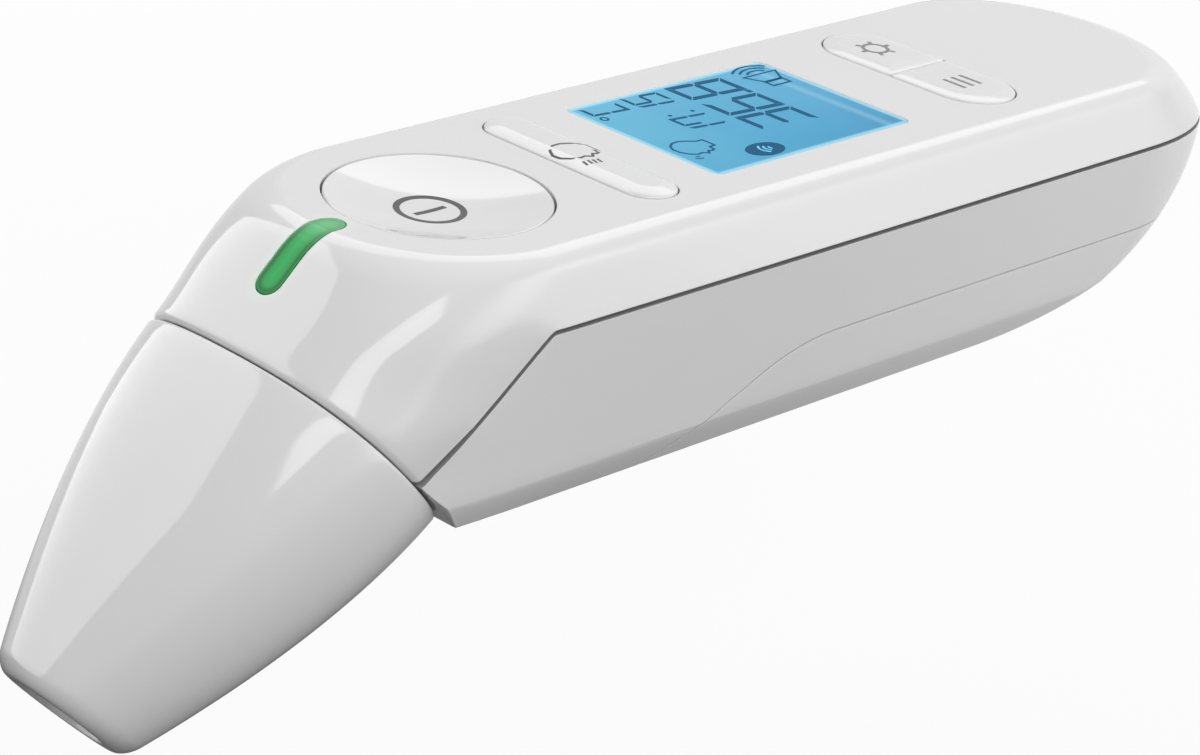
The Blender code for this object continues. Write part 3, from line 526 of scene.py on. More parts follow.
def door_line():
    front = (DOOR_FRONT_X - 7.2, -3.0)
    bend = (DOOR_BEND_X - 4.0, DOOR_Z)
    tail = (PAST_TAIL_X, DOOR_Z)
    return [front, *arc_corner(front, bend, tail, 28.0, 18), tail]


def shifted(line, rise):
    """A side line moved square to itself by rise."""
    moved = []
    for index, point in enumerate(line):
        before = Vector(line[max(index - 1, 0)])
        after = Vector(line[min(index + 1, len(line) - 1)])
        along = (after - before).normalized()
        moved.append((point[0] - along.y * rise, point[1] + along.x * rise))
    return moved


def side_zone(line, rise, far_z):
    """A prism across the whole case, from a side line up or down to far_z."""
    edge = shifted(line, rise)
    return prism([*edge, (edge[-1][0], far_z), (edge[0][0], far_z)], -BEYOND, BEYOND)


def key_outline(low, high, radii, inset, z):
    inner_low = (low[0] + inset, low[1] + inset)
    inner_high = (high[0] - inset, high[1] - inset)
    return rounded_rect(inner_low, inner_high, [max(r - inset, 0.05) for r in radii], z)


def pill_ring(centre_x, half, inset, z):
    low, high = (centre_x - half[0], -half[1]), (centre_x + half[0], half[1])
    return key_outline(low, high, (half[0] - 0.01,) * 4, inset, z)


def half_pair_ring(side, inset, z):
    """Outline of one key of the pair by the tail: round outside, square at the split."""
    near = 0.07 if inset >= 0 else 0.45 - inset
    round_end = PAIR_HALF[0] - 0.01
    if side < 0:
        low, high = (PAIR_X - PAIR_HALF[0], -PAIR_HALF[1]), (PAIR_X + PAIR_HALF[0], -near)
        radii = (round_end, round_end, 0.4, 0.4)
    else:
        low, high = (PAIR_X - PAIR_HALF[0], near), (PAIR_X + PAIR_HALF[0], PAIR_HALF[1])
        radii = (0.4, 0.4, round_end, round_end)
    return key_outline(low, high, radii, inset, z)


def guide_axes():
    """The light guide's middle, its direction along the nose and its outward direction."""
    start, end = (Vector((x, 0.0, z)) for x, z in GUIDE_ENDS)
    outward = Vector((-0.48, 0.0, 0.877)).normalized()
    along = (start - end) - (start - end).dot(outward) * outward
    return (start + end) / 2, along, outward


def guide_prism(grow, reach):
    centre, along, outward = guide_axes()
    half = along.length / 2 + grow
    across = GUIDE_WIDTH / 2 + grow
    radii = (across - 0.01,) * 4
    mesh = loft([rounded_rect((-half, -across), (half, across), radii, out) for out in reach])
    placed = placement(centre, along.normalized(), outward)
    bmesh.ops.transform(mesh, matrix=placed, verts=mesh.verts)
    return mesh


# ---------------------------------------------------------------- node materials


def feed(tree, made, inputs):
    """Links sockets to a node's inputs, or sets the inputs to plain values."""
    for key, value in inputs.items():
        if isinstance(value, bpy.types.NodeSocket):
            tree.links.new(value, made.inputs[key])
        else:
            made.inputs[key].default_value = value


def node(tree, kind, inputs=None, **settings):
    made = tree.nodes.new(kind)
    for key, value in settings.items():
        setattr(made, key, value)
    feed(tree, made, inputs or {})
    return made


def maths(tree, operation, first, second=0.0, third=0.0):
    inputs = {0: first, 1: second, 2: third}
    return node(tree, "ShaderNodeMath", inputs, operation=operation).outputs[0]


def ramp(tree, factor, stops):
    made = node(tree, "ShaderNodeValToRGB", {0: factor})
    elements = made.color_ramp.elements
    while len(elements) < len(stops):
        elements.new(0.5)
    for element, (place, colour) in zip(elements, stops):
        element.position = place
        element.color = (*colour, 1.0)
    return made.outputs[0]


def mix(tree, factor, first, second):
    inputs = {0: factor, 6: first, 7: second}
    for key in (6, 7):
        if isinstance(inputs[key], tuple):
            inputs[key] = (*inputs[key], 1.0)
    return node(tree, "ShaderNodeMix", inputs, data_type="RGBA").outputs[2]


def start_material(name):
    """A new node material: its tree, its shader and the socket with row-frame positions."""
    made = bpy.data.materials.new(name)
    made.use_nodes = True
    tree = made.node_tree
    shader = tree.nodes["Principled BSDF"]
    where = node(tree, "ShaderNodeTexCoord").outputs["Object"]
    return made, tree, shader, where


def noise(tree, where, scale, detail=3.0):
    inputs = {"Vector": where, "Scale": scale, "Detail": detail}
    return node(tree, "ShaderNodeTexNoise", inputs).outputs["Fac"]


def moulded(name, dark, light, roughness, grain=0.02, grain_scale=1500.0, **values):
    """Moulded plastic or metal: slow colour drift, uneven gloss and a fine surface grain."""
    made, tree, shader, where = start_material(name)
    colour = mix(tree, noise(tree, where, 45.0), dark, light)
    gloss = (noise(tree, where, 260.0), roughness * 0.5, roughness * 0.75)
    inputs = {"Strength": grain, "Distance": 0.0001, "Height": noise(tree, where, grain_scale)}
    bump = node(tree, "ShaderNodeBump", inputs)
    inputs = {key.replace("_", " "): value for key, value in values.items()}
    inputs["Base Color"] = colour
    inputs["Roughness"] = maths(tree, "MULTIPLY_ADD", *gloss)
    inputs["Normal"] = bump.outputs[0]
    feed(tree, shader, inputs)
    return made, tree, shader, where, bump


def soften_edges(tree, bump, radius):
    edge = node(tree, "ShaderNodeBevel", {"Radius": radius * MM}, samples=6)
    tree.links.new(edge.outputs[0], bump.inputs["Normal"])


def apart(tree, where):
    return node(tree, "ShaderNodeSeparateXYZ", {0: where}).outputs


def guide_distance(tree, where):
    """Distance from the light guide's middle line, in half widths of the guide."""
    centre, along, _ = guide_axes()
    half = along.length / 2 - GUIDE_WIDTH / 2
    inputs = {0: where, 1: centre * MM}
    offset = node(tree, "ShaderNodeVectorMath", inputs, operation="SUBTRACT").outputs[0]
    inputs = {0: offset, 1: along.normalized()}
    run = node(tree, "ShaderNodeVectorMath", inputs, operation="DOT_PRODUCT").outputs["Value"]
    past = maths(tree, "SUBTRACT", maths(tree, "ABSOLUTE", run), half * MM)
    past = maths(tree, "MAXIMUM", past, 0.0)
    side = apart(tree, offset)[1]
    square = maths(tree, "ADD", *(maths(tree, "MULTIPLY", part, part) for part in (past, side)))
    distance = maths(tree, "DIVIDE", maths(tree, "SQRT", square), GUIDE_WIDTH / 2 * MM)
    return distance, run, half


def white_plastic():
    """The case's glossy white, with a painted glow of the light guide's green light on it."""
    dark, light = (0.805, 0.803, 0.805), (0.83, 0.828, 0.83)
    made, tree, shader, where, bump = moulded(
        "gloss_white_case", dark, light, 0.11, grain=0.006, Coat_Weight=0.5, Coat_Roughness=0.03
    )
    soften_edges(tree, bump, 0.16)
    distance, _, _ = guide_distance(tree, where)
    # Painted light: the white case glows green around the light guide, standing in for the guide's
    # light falling on it.
    near = ramp(tree, maths(tree, "MULTIPLY", distance, 0.4), (
        (0.40, (0.06, 0.30, 0.10)), (0.47, (0.02, 0.09, 0.035)), (0.72, (0.0, 0.0, 0.0)),
    ))
    feed(tree, shader, {"Emission Color": near, "Emission Strength": 0.45})
    return made


def green_guide():
    """The lit light guide: bright along its middle, paler towards the top face."""
    made, tree, shader, where, _ = moulded(
        "green_light_guide", (0.03, 0.36, 0.10), (0.05, 0.46, 0.14), 0.12, Specular_IOR_Level=0.25
    )
    distance, run, half = guide_distance(tree, where)
    core = ramp(tree, distance, (
        (0.0, (0.012, 0.42, 0.090)), (0.52, (0.008, 0.34, 0.070)),
        (0.80, (0.001, 0.14, 0.022)), (1.0, (0.008, 0.27, 0.050)),
    ))
    up = maths(tree, "MULTIPLY_ADD", run, 0.5 / ((half + GUIDE_WIDTH / 2) * MM), 0.5)
    pale = ramp(tree, up, ((0.55, (0.0, 0.0, 0.0)), (0.86, (0.42, 0.42, 0.42))))
    colour = mix(tree, pale, core, (0.26, 0.62, 0.34))
    lit = {"Base Color": colour, "Emission Color": colour, "Emission Strength": 0.16}
    feed(tree, shader, lit)
    return made


def display_blue():
    """The lit display: a blue field that drifts in tone, inside a pale glowing border."""
    made, tree, shader, where, _ = moulded(
        "display_glass", (0.01, 0.03, 0.05), (0.012, 0.035, 0.055), 0.3, grain=0.0,
        Specular_IOR_Level=0.03,
    )
    x, y, _ = apart(tree, where)
    drift = maths(tree, "MULTIPLY_ADD", x, -9.0, maths(tree, "MULTIPLY_ADD", y, 12.0, 0.42))
    drift = maths(tree, "MULTIPLY_ADD", noise(tree, where, 70.0), 0.35, drift)
    field = ramp(tree, drift, (
        (0.15, (0.030, 0.205, 0.430)), (0.5, (0.078, 0.370, 0.600)), (0.9, (0.165, 0.510, 0.700)),
    ))
    line = maths(tree, "ABSOLUTE", maths(tree, "SUBTRACT", x, STREAK_X * MM))
    away = maths(tree, "DIVIDE", line, STREAK_HALF * MM)
    streak = ramp(tree, away, ((0.0, (0.3,) * 3), (1.0, (0.0,) * 3)))
    field = mix(tree, streak, field, (0.40, 0.72, 0.86))
    over_x, over_y = (
        maths(tree, "SUBTRACT", maths(tree, "ABSOLUTE", socket), (half - BORDER_START) * MM)
        for socket, half in zip((x, y), DISPLAY_HALF)
    )
    edge = maths(tree, "DIVIDE", maths(tree, "MAXIMUM", over_x, over_y), BORDER_FADE * MM)
    border = ramp(tree, edge, ((0.0, (0.0,) * 3), (0.6, (0.75,) * 3), (1.0, (0.9,) * 3)))
    shown = mix(tree, border, field, (0.38, 0.76, 0.90))
    feed(tree, shader, {"Emission Color": shown, "Emission Strength": 0.95})
    return made


def ink(name, colour, glow=0.0, roughness=0.3):
    """Print on a key, or with some glow a dark or pale shape in the lit display."""
    darker = tuple(part * 0.85 for part in colour)
    made, tree, shader, where, _ = moulded(
        name, darker, colour, roughness, grain=0.0, Specular_IOR_Level=0.02 if glow else 0.15
    )
    tone = mix(tree, noise(tree, where, 400.0), darker, colour)
    feed(tree, shader, {"Emission Color": tone, "Emission Strength": glow})
    return made


WHITE = white_plastic()
GREEN = green_guide()
DISPLAY = display_blue()
SEGMENTS = ink("display_segments", (0.004, 0.062, 0.135), glow=0.9)
BADGE_LINES = ink("badge_lines", (0.14, 0.50, 0.72), glow=0.7)
LEGEND = ink("key_legend", (0.12, 0.12, 0.124), roughness=0.4)
# Painted shade: a darker grey for the groove walls between the shells, standing in for the shadow
# inside the groove.
PAINTED_GROOVE_SHADE = moulded("painted_groove_shade", (0.31, 0.31, 0.313), (0.36, 0.36, 0.363), 0.6, 0.0)[0]
FAINT_LEGEND = ink("pale_legend", (0.30, 0.30, 0.31), roughness=0.4)


# ---------------------------------------------------------------- shells


def case_hollow():
    """The space inside the case, which ends at a wall behind the seam."""
    hollow = tool(inner_body())
    slab = box((-30, -30, -2.6), (30, 30, 30))
    bmesh.ops.transform(slab, matrix=seam_frame(), verts=slab.verts)
    combine(hollow, tool(slab))
    return hollow


def seam_ovals(grown, levels, count=96):
    """Copies of the seam oval at levels out along its axis, grown or shrunk."""
    placed = seam_frame()
    height, width = SEAM_HEIGHT + grown[0], SEAM_WIDTH + grown[1]
    return [oval(height, width, SEAM_POWER, out, placed, count) for out in levels]


def mouth():
    """The opening in the case's nose that takes the probe."""
    return loft(seam_ovals((-2.3, -2.3), (-8.3, 2.1)))


def beyond_seam():
    """Everything on the cap's side of the seam."""
    nose = box((-40, -30, -SEAM_GAP / 2), (40, 30, 60))
    bmesh.ops.transform(nose, matrix=seam_frame(), verts=nose.verts)
    return nose


def line_distance(line, x, z):
    """Distance from a point on the side to a side line."""
    nearest = BEYOND
    for start, end in zip(line, line[1:]):
        start, along = Vector(start), Vector(end) - Vector(start)
        share = (Vector((x, z)) - start).dot(along) / along.length_squared
        foot = start + along * min(max(share, 0.0), 1.0)
        nearest = min(nearest, (Vector((x, z)) - foot).length)
    return nearest


def shade_parting(shell):
    """Paints the walls of the groove between the shells a darker grey: painted shade for the shadow
    in the groove.
    """
    shell.data.materials.append(PAINTED_GROOVE_SHADE)
    line = parting_line()
    for face in shell.data.polygons:
        x, _, z = (part / MM for part in face.center)
        if abs(face.normal.y) < 0.3 and line_distance(line, x, z) < PARTING_GAP / 2 + 0.02:
            face.material_index = 1


def upper_shell():
    shell = make("upper_shell", outer_body())
    combine(shell, tool(side_zone(parting_line(), PARTING_GAP / 2, 40.0)), "INTERSECT")
    combine(shell, tool(beyond_seam()))
    combine(shell, case_hollow())
    combine(shell, tool(mouth()))
    top, under = TOP_Z + 3, TOP_Z - WALL - 1.5
    half = [extent + 0.2 for extent in DISPLAY_HALF]
    window = [rounded_rect([-h for h in half], half, (1.0,) * 4, z) for z in (under, top)]
    holes = (
        rod((POWER_X, 0, under), (POWER_X, 0, top), POWER_R + KEY_GAP, 128),
        loft([pill_ring(MODE_X, MODE_HALF, -KEY_GAP, z) for z in (under, top)]),
        loft([pill_ring(PAIR_X, PAIR_HALF, -KEY_GAP, z) for z in (under, top)]),
        loft(window),
        guide_prism(0.15, (-6.0, 8.0)),
    )
    for mesh in holes:
        combine(shell, tool(mesh))
    for x, y in BOSSES:
        low = 12.4 if x < 0 else WEB[1] + GAP
        boss = tool(rod((x, y, low), (x, y, TOP_Z - 1.0), BOSS_R, 32))
        combine(boss, tool(rod((x, y, low - 1), (x, y, low + 6), PILOT_R, 24)))
        combine(shell, boss, "UNION")
    combine(shell, tool(seam_round()), "INTERSECT")
    shade_parting(bake(shell, WHITE))
    stand_in(shell, "case", "upper_housing")


def nose_round():
    """A wedge whose front corners round off the sides of the lower shell at the seam."""
    rear, rings = 170.0, []
    places = ((-130.0, 17.3, 2.0), (-9.0, 17.3, 2.0), (-3.0, 18.0, 1.7), (130.0, BEYOND, 1.0))
    for up, half, radius in places:
        centre = (-SEAM_GAP / 2 - radius, half - radius)
        side = []
        for step in range(14):
            angle = (math.pi / 2 - FLARE) * (1 - step / 13)
            out, across = radius * math.cos(angle), radius * math.sin(angle)
            side.append((centre[0] + out, centre[1] + across))
        side.insert(0, (-rear, side[0][1] + (rear + side[0][0]) * math.tan(FLARE)))
        outline = side + [(out, -y) for out, y in reversed(side)]
        rings.append([seam_frame() @ Vector((up, y, out)) for out, y in outline])
    return loft(rings)


def seam_round():
    """A flaring oval whose front edge rounds the upper shell off where it meets the cap."""
    radius, rings = 0.7, []
    for step in range(9):
        angle = (math.pi / 2 - FLARE) * (1 - step / 8)
        inset = radius * (1 - math.sin(angle))
        out = -SEAM_GAP / 2 - radius + radius * math.cos(angle)
        rings += seam_ovals((-inset, -inset), (out,), 160)
    behind = ((-7.0, 7.0 * math.tan(FLARE)), (-7.2, 130.0), (-190.0, 130.0))
    for out, grown in behind:
        rings = seam_ovals((grown, grown), (out,), 160) + rings
    return loft(rings)


def lower_shell():
    shell = make("lower_shell", outer_body())
    combine(shell, tool(loft(seam_ovals((0.0, -0.1), (-6.5, 2.0)))), "UNION")
    combine(shell, tool(side_zone(parting_line(), -PARTING_GAP / 2, BELOW)), "INTERSECT")
    combine(shell, tool(beyond_seam()))
    combine(shell, tool(side_zone(door_line(), DOOR_GAP / 2, BELOW)))
    hollow = case_hollow()
    combine(hollow, tool(box((BAY_FRONT[0], -BEYOND, WEB[0]), (PAST_TAIL_X, BEYOND, WEB[1]))))
    combine(hollow, tool(box((BAY_FRONT[0], -BEYOND, -5.0), (BAY_FRONT[1], BEYOND, WEB[1]))))
    combine(shell, hollow)
    combine(shell, tool(mouth()))
    for x, y in BOSSES:
        if x < 0:
            combine(shell, tool(rod((x, y, 1.0), (x, y, 12.0), HEAD_TUBE_R)), "UNION")
            combine(shell, tool(rod((x, y, -2.0), (x, y, 10.0), HEAD_WELL_R)))
            bore = rod((x, y, 9.0), (x, y, 13.0), SCREW_BORE_R, 32)
        else:
            bore = rod((x, y, WEB[0] - 1), (x, y, WEB[1] + 1), SCREW_BORE_R, 32)
        combine(shell, tool(bore))
    combine(shell, tool(nose_round()), "INTERSECT")
    shade_parting(bake(shell, WHITE))
    stand_in(shell, "case", "lower_housing")


def door_shell():
    door = make("door_shell", outer_body())
    combine(door, tool(side_zone(door_line(), -DOOR_GAP / 2, BELOW)), "INTERSECT")
    combine(door, case_hollow())
    bake(door, WHITE)
    stand_in(door, "door", "battery_door")


def light_guide():
    guide = make("guide_lens", outer_body())
    combine(guide, tool(guide_prism(0.0, (-1.9, 8.0))), "INTERSECT")
    bake(guide, GREEN)
    stand_in(guide, "case", "light_guide")


# ---------------------------------------------------------------- cap


def cap_ring(out, thickness=0.0):
    """The cap's outline at a distance out from the seam, drawn in by a wall thickness."""
    length = math.hypot(TIP_X - SEAM_X, TIP_Z - SEAM_Z)
    share = out / length
    grow = 1 - share**CAP_PROFILE
    height = CAP_TIP_R + (SEAM_HEIGHT - CAP_TIP_R) * grow - thickness
    width = CAP_TIP_R + (SEAM_WIDTH - CAP_TIP_R) * grow - thickness
    power = SEAM_POWER + (2.0 - SEAM_POWER) * share
    outward = Vector((-math.cos(SEAM_TILT), 0.0, -math.sin(SEAM_TILT)))
    start = Vector((SEAM_X, 0.0, SEAM_Z))
    centre = start + (Vector((TIP_X, 0.0, TIP_Z)) - start) * share
    placed = seam_frame()
    placed.translation = centre + outward * (out - share * length)
    return oval(height, width, power, 0.0, placed)


def cap_shell():
    """A hollow bullet with a rolled rim, a ledge inside and a recessed opening in its tip."""
    length = math.hypot(TIP_X - SEAM_X, TIP_Z - SEAM_Z)
    rim, roll, depth, reach = SEAM_GAP / 2, 0.32, 1.2, 1.75
    outer = []
    for step in range(6):
        angle = step / 5 * math.pi / 2
        outer.append(cap_ring(rim + roll * (1 - math.cos(angle)), roll * (1 - math.sin(angle))))
    span = length - reach - rim - roll
    outer += [cap_ring(rim + roll + span * step / 32) for step in range(1, 33)]
    for step in range(1, 13):
        angle = step / 12 * math.pi / 2
        back, drawn_in = reach * (1 - math.sin(angle)), depth * (1 - math.cos(angle))
        outer.append(cap_ring(length - back, drawn_in))
    placed = seam_frame()
    placed.translation = Vector((TIP_X, 0.0, TIP_Z))
    recess = ((4.88, 0.0), (4.76, -0.06), (4.7, -0.2), (4.65, -1.4), (3.6, -1.4), (3.55, -2.4))
    opening = [oval(radius, radius, 2.0, out, placed) for radius, out in recess]
    ledge, rim_wall = 4.6, 1.9
    steps = (
        (29.0, CAP_WALL), (26.0, CAP_WALL), (22.0, CAP_WALL), (18.0, CAP_WALL), (12.0, CAP_WALL),
        (6.6, CAP_WALL), (6.5, ledge), (4.0, ledge), (3.9, rim_wall), (rim, rim_wall),
    )
    inner = [cap_ring(out, thickness) for out, thickness in steps]
    cap = make("cap_shell", loft(outer + opening + inner, ring_shaped=True), WHITE)
    stand_in(cap, "cap", "forehead_cap")


# ---------------------------------------------------------------- keys


def crown(depth, proud):
    """Height of a pill key's face above the case, at a distance in from its edge."""
    share = min(max(depth / CROWN_WIDTH, 0.0), 1.0)
    edge = min(depth / 0.25, 1.0)
    lip = 0.3 * proud * math.sqrt(max(0.0, 1 - (1 - edge) ** 2))
    slope = 0.7 * proud * (1 - (1 - share) ** 1.5)
    return lip + slope


def pill_key_levels(proud):
    """Insets and levels of a pill key, from its hidden flange up over its crowned face."""
    levels = [(-KEY_FLANGE, FLANGE_LOW), (-KEY_FLANGE, FLANGE_HIGH)]
    levels += [(0.0, FLANGE_HIGH), (0.0, TOP_Z)]
    for depth in (0.02, 0.06, 0.12, 0.2, 0.3, 0.5, 0.75, 1.0, 1.2, 1.4, 1.55, CROWN_WIDTH):
        levels.append((depth, TOP_Z + crown(depth, proud)))
    return levels


def pill_keys():
    levels = pill_key_levels(MODE_PROUD)
    skin = loft([pill_ring(MODE_X, MODE_HALF, inset, z) for inset, z in levels])
    mode = make("mode_key_top", skin, WHITE)
    stand_in(mode, "mode_key", "mode_button")
    levels = pill_key_levels(PAIR_PROUD)
    for name, side in (("memory", -1), ("set", 1)):
        skin = loft([half_pair_ring(side, inset, z) for inset, z in levels])
        key = make(f"{name}_key_top", skin, WHITE)
        stand_in(key, f"{name}_key", f"{name}_button")


def dish_height(radius):
    """Level of the power key's dished face, part of a ball, at a distance from its middle."""
    ball = (POWER_R**2 + POWER_DISH**2) / (2 * POWER_DISH)
    return TOP_Z - POWER_DISH + ball - math.sqrt(ball**2 - radius**2)


def power_key():
    """The dished round key: its face, a rounded edge, and the flange that holds it in."""
    profile = []
    for step in range(25):
        radius = (POWER_R - 0.35) * step / 24
        profile.append((radius, dish_height(radius)))
    profile += [
        (POWER_R - 0.18, TOP_Z - 0.05), (POWER_R - 0.05, TOP_Z - 0.14), (POWER_R, TOP_Z - 0.35),
        (POWER_R, FLANGE_HIGH), (POWER_R + 0.8, FLANGE_HIGH), (POWER_R + 0.8, FLANGE_LOW),
        (0.0, FLANGE_LOW),
    ]
    key = make("power_key_top", turned(profile, Matrix.Translation((POWER_X, 0, 0)), 128), WHITE)
    stand_in(key, "power_key", "power_button")


# ---------------------------------------------------------------- printed marks


def reader(right, up):
    """A point as seen by someone reading the display: right is +Y and up is -X."""
    return (-up, right)


def stroke(mesh, points, width, height, closed=False):
    """A line of even width laid on a surface; height gives the surface's level at x, y."""
    count = len(points)
    sides = []
    for index in range(count):
        before = Vector(points[index - 1] if closed or index else points[0])
        after = Vector(points[(index + 1) % count] if closed or index < count - 1 else points[-1])
        here = Vector(points[index])
        first, second = here - before, after - here
        first = (first if first.length > 1e-6 else second).normalized()
        second = (second if second.length > 1e-6 else first).normalized()
        across = Vector((-first.y - second.y, first.x + second.x))
        across = across.normalized() * min(1 / max(across.length / 2, 0.5), 1.6) * width / 2
        sides.append((here + across, here - across))
    rows = []
    for left, right in sides:
        row = []
        for rise, order in ((PRINT_HIGH, (left, right)), (-PRINT_DEEP, (right, left))):
            row += [mesh.verts.new((p.x, p.y, height(p.x, p.y) + rise)) for p in order]
        rows.append(row)
    if not closed:
        mesh.faces.new(rows[0])
        mesh.faces.new(rows[-1])
    bridge(mesh, rows, closed)


def patch(mesh, outline, level):
    """A flat printed shape that lies just over a level."""
    low = [(x, y, level - PRINT_DEEP) for x, y in outline]
    draw_out(mesh, low, (0.0, 0.0, PRINT_DEEP + PRINT_HIGH))


def circle(centre, radius_x, radius_y, count=40, start=0.0, turn=math.tau):
    steps = count if turn >= math.tau else count - 1
    return [
        (centre[0] + radius_x * math.cos(start + turn * i / steps),
         centre[1] + radius_y * math.sin(start + turn * i / steps))
        for i in range(count)
    ]


def marks(name, mesh, body, surface):
    piece = make(name, mesh, surface)
    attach(piece, body)
    return piece


SEGMENT_MAP = {
    "0": "abcdef", "1": "bc", "2": "abged", "3": "abgcd", "4": "fgbc", "5": "afgcd",
    "6": "afgedc", "7": "abcf", "8": "abcdefg", "C": "afed",
}


def digit(mesh, shown, left, bottom, width, height, thick, slant, level):
    """One seven-segment digit in the reader's own axes, leaning by slant."""
    middle, gap = height / 2, thick * 0.12
    half = thick / 2
    across = ((gap, 0), (gap + thick, thick), (width - gap - thick, thick), (width - gap, 0))
    centre_bar = (
        (gap + half, middle), (gap + thick, middle + half),
        (width - gap - thick, middle + half), (width - gap - half, middle),
        (width - gap - thick, middle - half), (gap + thick, middle - half),
    )
    low_side = (
        (0, gap), (thick, thick + gap), (thick, middle - half - gap),
        (half, middle - gap), (0, middle - half),
    )
    shapes = {
        "d": across,
        "a": [(x, height - y) for x, y in across],
        "g": centre_bar,
        "e": low_side,
        "f": [(x, height - y) for x, y in low_side],
        "c": [(width - x, y) for x, y in low_side],
        "b": [(width - x, height - y) for x, y in low_side],
    }
    for segment in SEGMENT_MAP[shown]:
        outline = [reader(left + x + slant * y, bottom + y) for x, y in shapes[segment]]
        patch(mesh, outline, level)


def head_outline(centre, size):
    """A plain profile of a head, facing towards the reader's left."""
    points = (
        (0.40, -1.0), (-0.30, -1.0), (-0.34, -0.66), (-0.62, -0.62), (-0.70, -0.44), (-0.62, -0.28),
        (-0.84, -0.10), (-0.66, 0.14), (-0.70, 0.42), (-0.50, 0.74), (-0.16, 0.95), (0.22, 0.98),
        (0.56, 0.80), (0.78, 0.46), (0.80, 0.06), (0.62, -0.34), (0.44, -0.62),
    )
    return [reader(centre[0] + x * size, centre[1] + y * size) for x, y in points]


def display_marks():
    """What the lit display shows: a reading, the time, a unit and four small signs."""
    level = TOP_Z - 0.05
    flat = lambda x, y: level
    mesh = bmesh.new()
    for shown, left in (("3", -4.75), ("6", -0.15), ("8", 5.05)):
        digit(mesh, shown, left, -6.85, 4.05, 7.7, 0.72, 0.09, level)
    point = ((4.3, -6.85), (4.95, -6.85), (5.0, -6.2), (4.35, -6.2))
    patch(mesh, [reader(right, up) for right, up in point], level)
    marks("reading_digits", mesh, "case", SEGMENTS)
    mesh = bmesh.new()
    for shown, left in (("1", -2.6), ("7", 0.2), ("1", 4.4), ("5", 7.1)):
        digit(mesh, shown, left, 2.35, 2.35, 4.85, 0.42, 0.12, level)
    for up in (3.1, 6.2):
        patch(mesh, circle(reader(3.4 + 0.06 * up, up), 0.24, 0.24, 16), level)
    marks("clock_digits", mesh, "case", SEGMENTS)
    mesh = bmesh.new()
    digit(mesh, "C", 7.1, 8.4, 2.3, 4.8, 0.42, 0.1, level)
    stroke(mesh, circle(reader(6.55, 12.75), 0.4, 0.4, 20), 0.24, flat, True)
    marks("unit_mark", mesh, "case", SEGMENTS)
    mesh = bmesh.new()
    stroke(mesh, head_outline((-3.75, 10.85), 2.35), 0.26, flat, True)
    for index in range(2):
        arc = circle(reader(-5.35, 12.2), 0.55 + 0.5 * index, 0.55 + 0.5 * index, 8, -2.4, 0.9)
        stroke(mesh, arc, 0.2, flat)
    marks("head_mark", mesh, "case", SEGMENTS)
    mesh = bmesh.new()
    patch(mesh, circle(reader(-7.9, 4.9), 2.4, 1.6, 48), level)
    marks("wireless_badge", mesh, "case", SEGMENTS)
    mesh = bmesh.new()
    above = lambda x, y: level + PRINT_HIGH
    for radius in (0.55, 1.15, 1.75):
        arc = circle(reader(-7.9, 3.7), radius, radius * 0.75, 10, math.pi - 0.75, 1.5)
        stroke(mesh, arc, 0.22, above)
    marks("wireless_arcs", mesh, "case", BADGE_LINES)
    mesh = bmesh.new()
    block = ((4.45, -12.75), (5.6, -12.75), (5.6, -10.15), (4.45, -10.15))
    horn = ((5.75, -12.7), (7.75, -14.0), (7.75, -9.1), (5.75, -10.2))
    for outline in (block, horn):
        stroke(mesh, [reader(right, up) for right, up in outline], 0.3, flat, True)
    for index in range(3):
        size = 1.6 + 0.72 * index
        arc = circle(reader(7.1, -11.5), size * 1.15, size, 12, math.pi / 2 - 0.8, 1.6)
        stroke(mesh, arc, 0.28, flat)
    marks("sound_mark", mesh, "case", SEGMENTS)


def display_face():
    """The display window, with a small rounded edge."""
    half = DISPLAY_HALF
    levels = ((0.0, WINDOW_LOW), (0.0, TOP_Z - 0.16), (0.05, TOP_Z - 0.08), (0.14, TOP_Z - 0.05))
    rings = []
    for inset, z in levels:
        low, high = [-h + inset for h in half], [h - inset for h in half]
        rings.append(rounded_rect(low, high, (0.8 - inset,) * 4, z))
    face = make("display_face", loft(rings), DISPLAY)
    stand_in(face, "case", "display_window")


def key_marks():
    """Signs on the keys: a ring and bar, a head, three bars and a spoked ring."""
    dish = lambda x, y: dish_height(math.hypot(x - POWER_X, y))
    mesh = bmesh.new()
    middle = (POWER_X - 0.58, 0.39)
    stroke(mesh, circle(middle, 3.15, 3.15, 72), 0.64, dish, True)
    bar = [(middle[0] - 1.9 + 3.8 * step / 8, middle[1]) for step in range(9)]
    stroke(mesh, bar, 0.58, dish)
    marks("power_mark", mesh, "power_key", LEGEND)
    crest = lambda x, y: TOP_Z + crown(MODE_HALF[0] - abs(x - MODE_X), MODE_PROUD)
    mesh = bmesh.new()
    stroke(mesh, head_outline((0.6, -MODE_X), 2.55), 0.28, crest, True)
    for index in range(4):
        right, up = -1.95 - 0.1 * index, -MODE_X + 1.55 - 0.55 * index
        stroke(mesh, [reader(right - 0.42 * k, up + 0.1 * k) for k in range(3)], 0.24, crest)
    marks("mode_mark", mesh, "mode_key", LEGEND)
    flat = lambda x, y: TOP_Z + PAIR_PROUD
    mesh = bmesh.new()
    for index in range(3):
        x = PAIR_X - 1.3 + 1.3 * index
        stroke(mesh, [(x, -PAIR_KEY_Y - 1.5), (x, -PAIR_KEY_Y + 1.5)], 0.42, flat)
    marks("memory_mark", mesh, "memory_key", FAINT_LEGEND)
    mesh = bmesh.new()
    stroke(mesh, circle((PAIR_X, PAIR_KEY_Y), 1.35, 1.35, 40), 0.4, flat, True)
    for index in range(6):
        angle = index * math.tau / 6
        x, y = math.cos(angle), math.sin(angle)
        spoke = [(PAIR_X + r * x, PAIR_KEY_Y + r * y) for r in (1.6, 2.15)]
        stroke(mesh, spoke, 0.42, flat)
    marks("set_mark", mesh, "set_key", FAINT_LEGEND)


# ---------------------------------------------------------------- carried-over CAD nodes


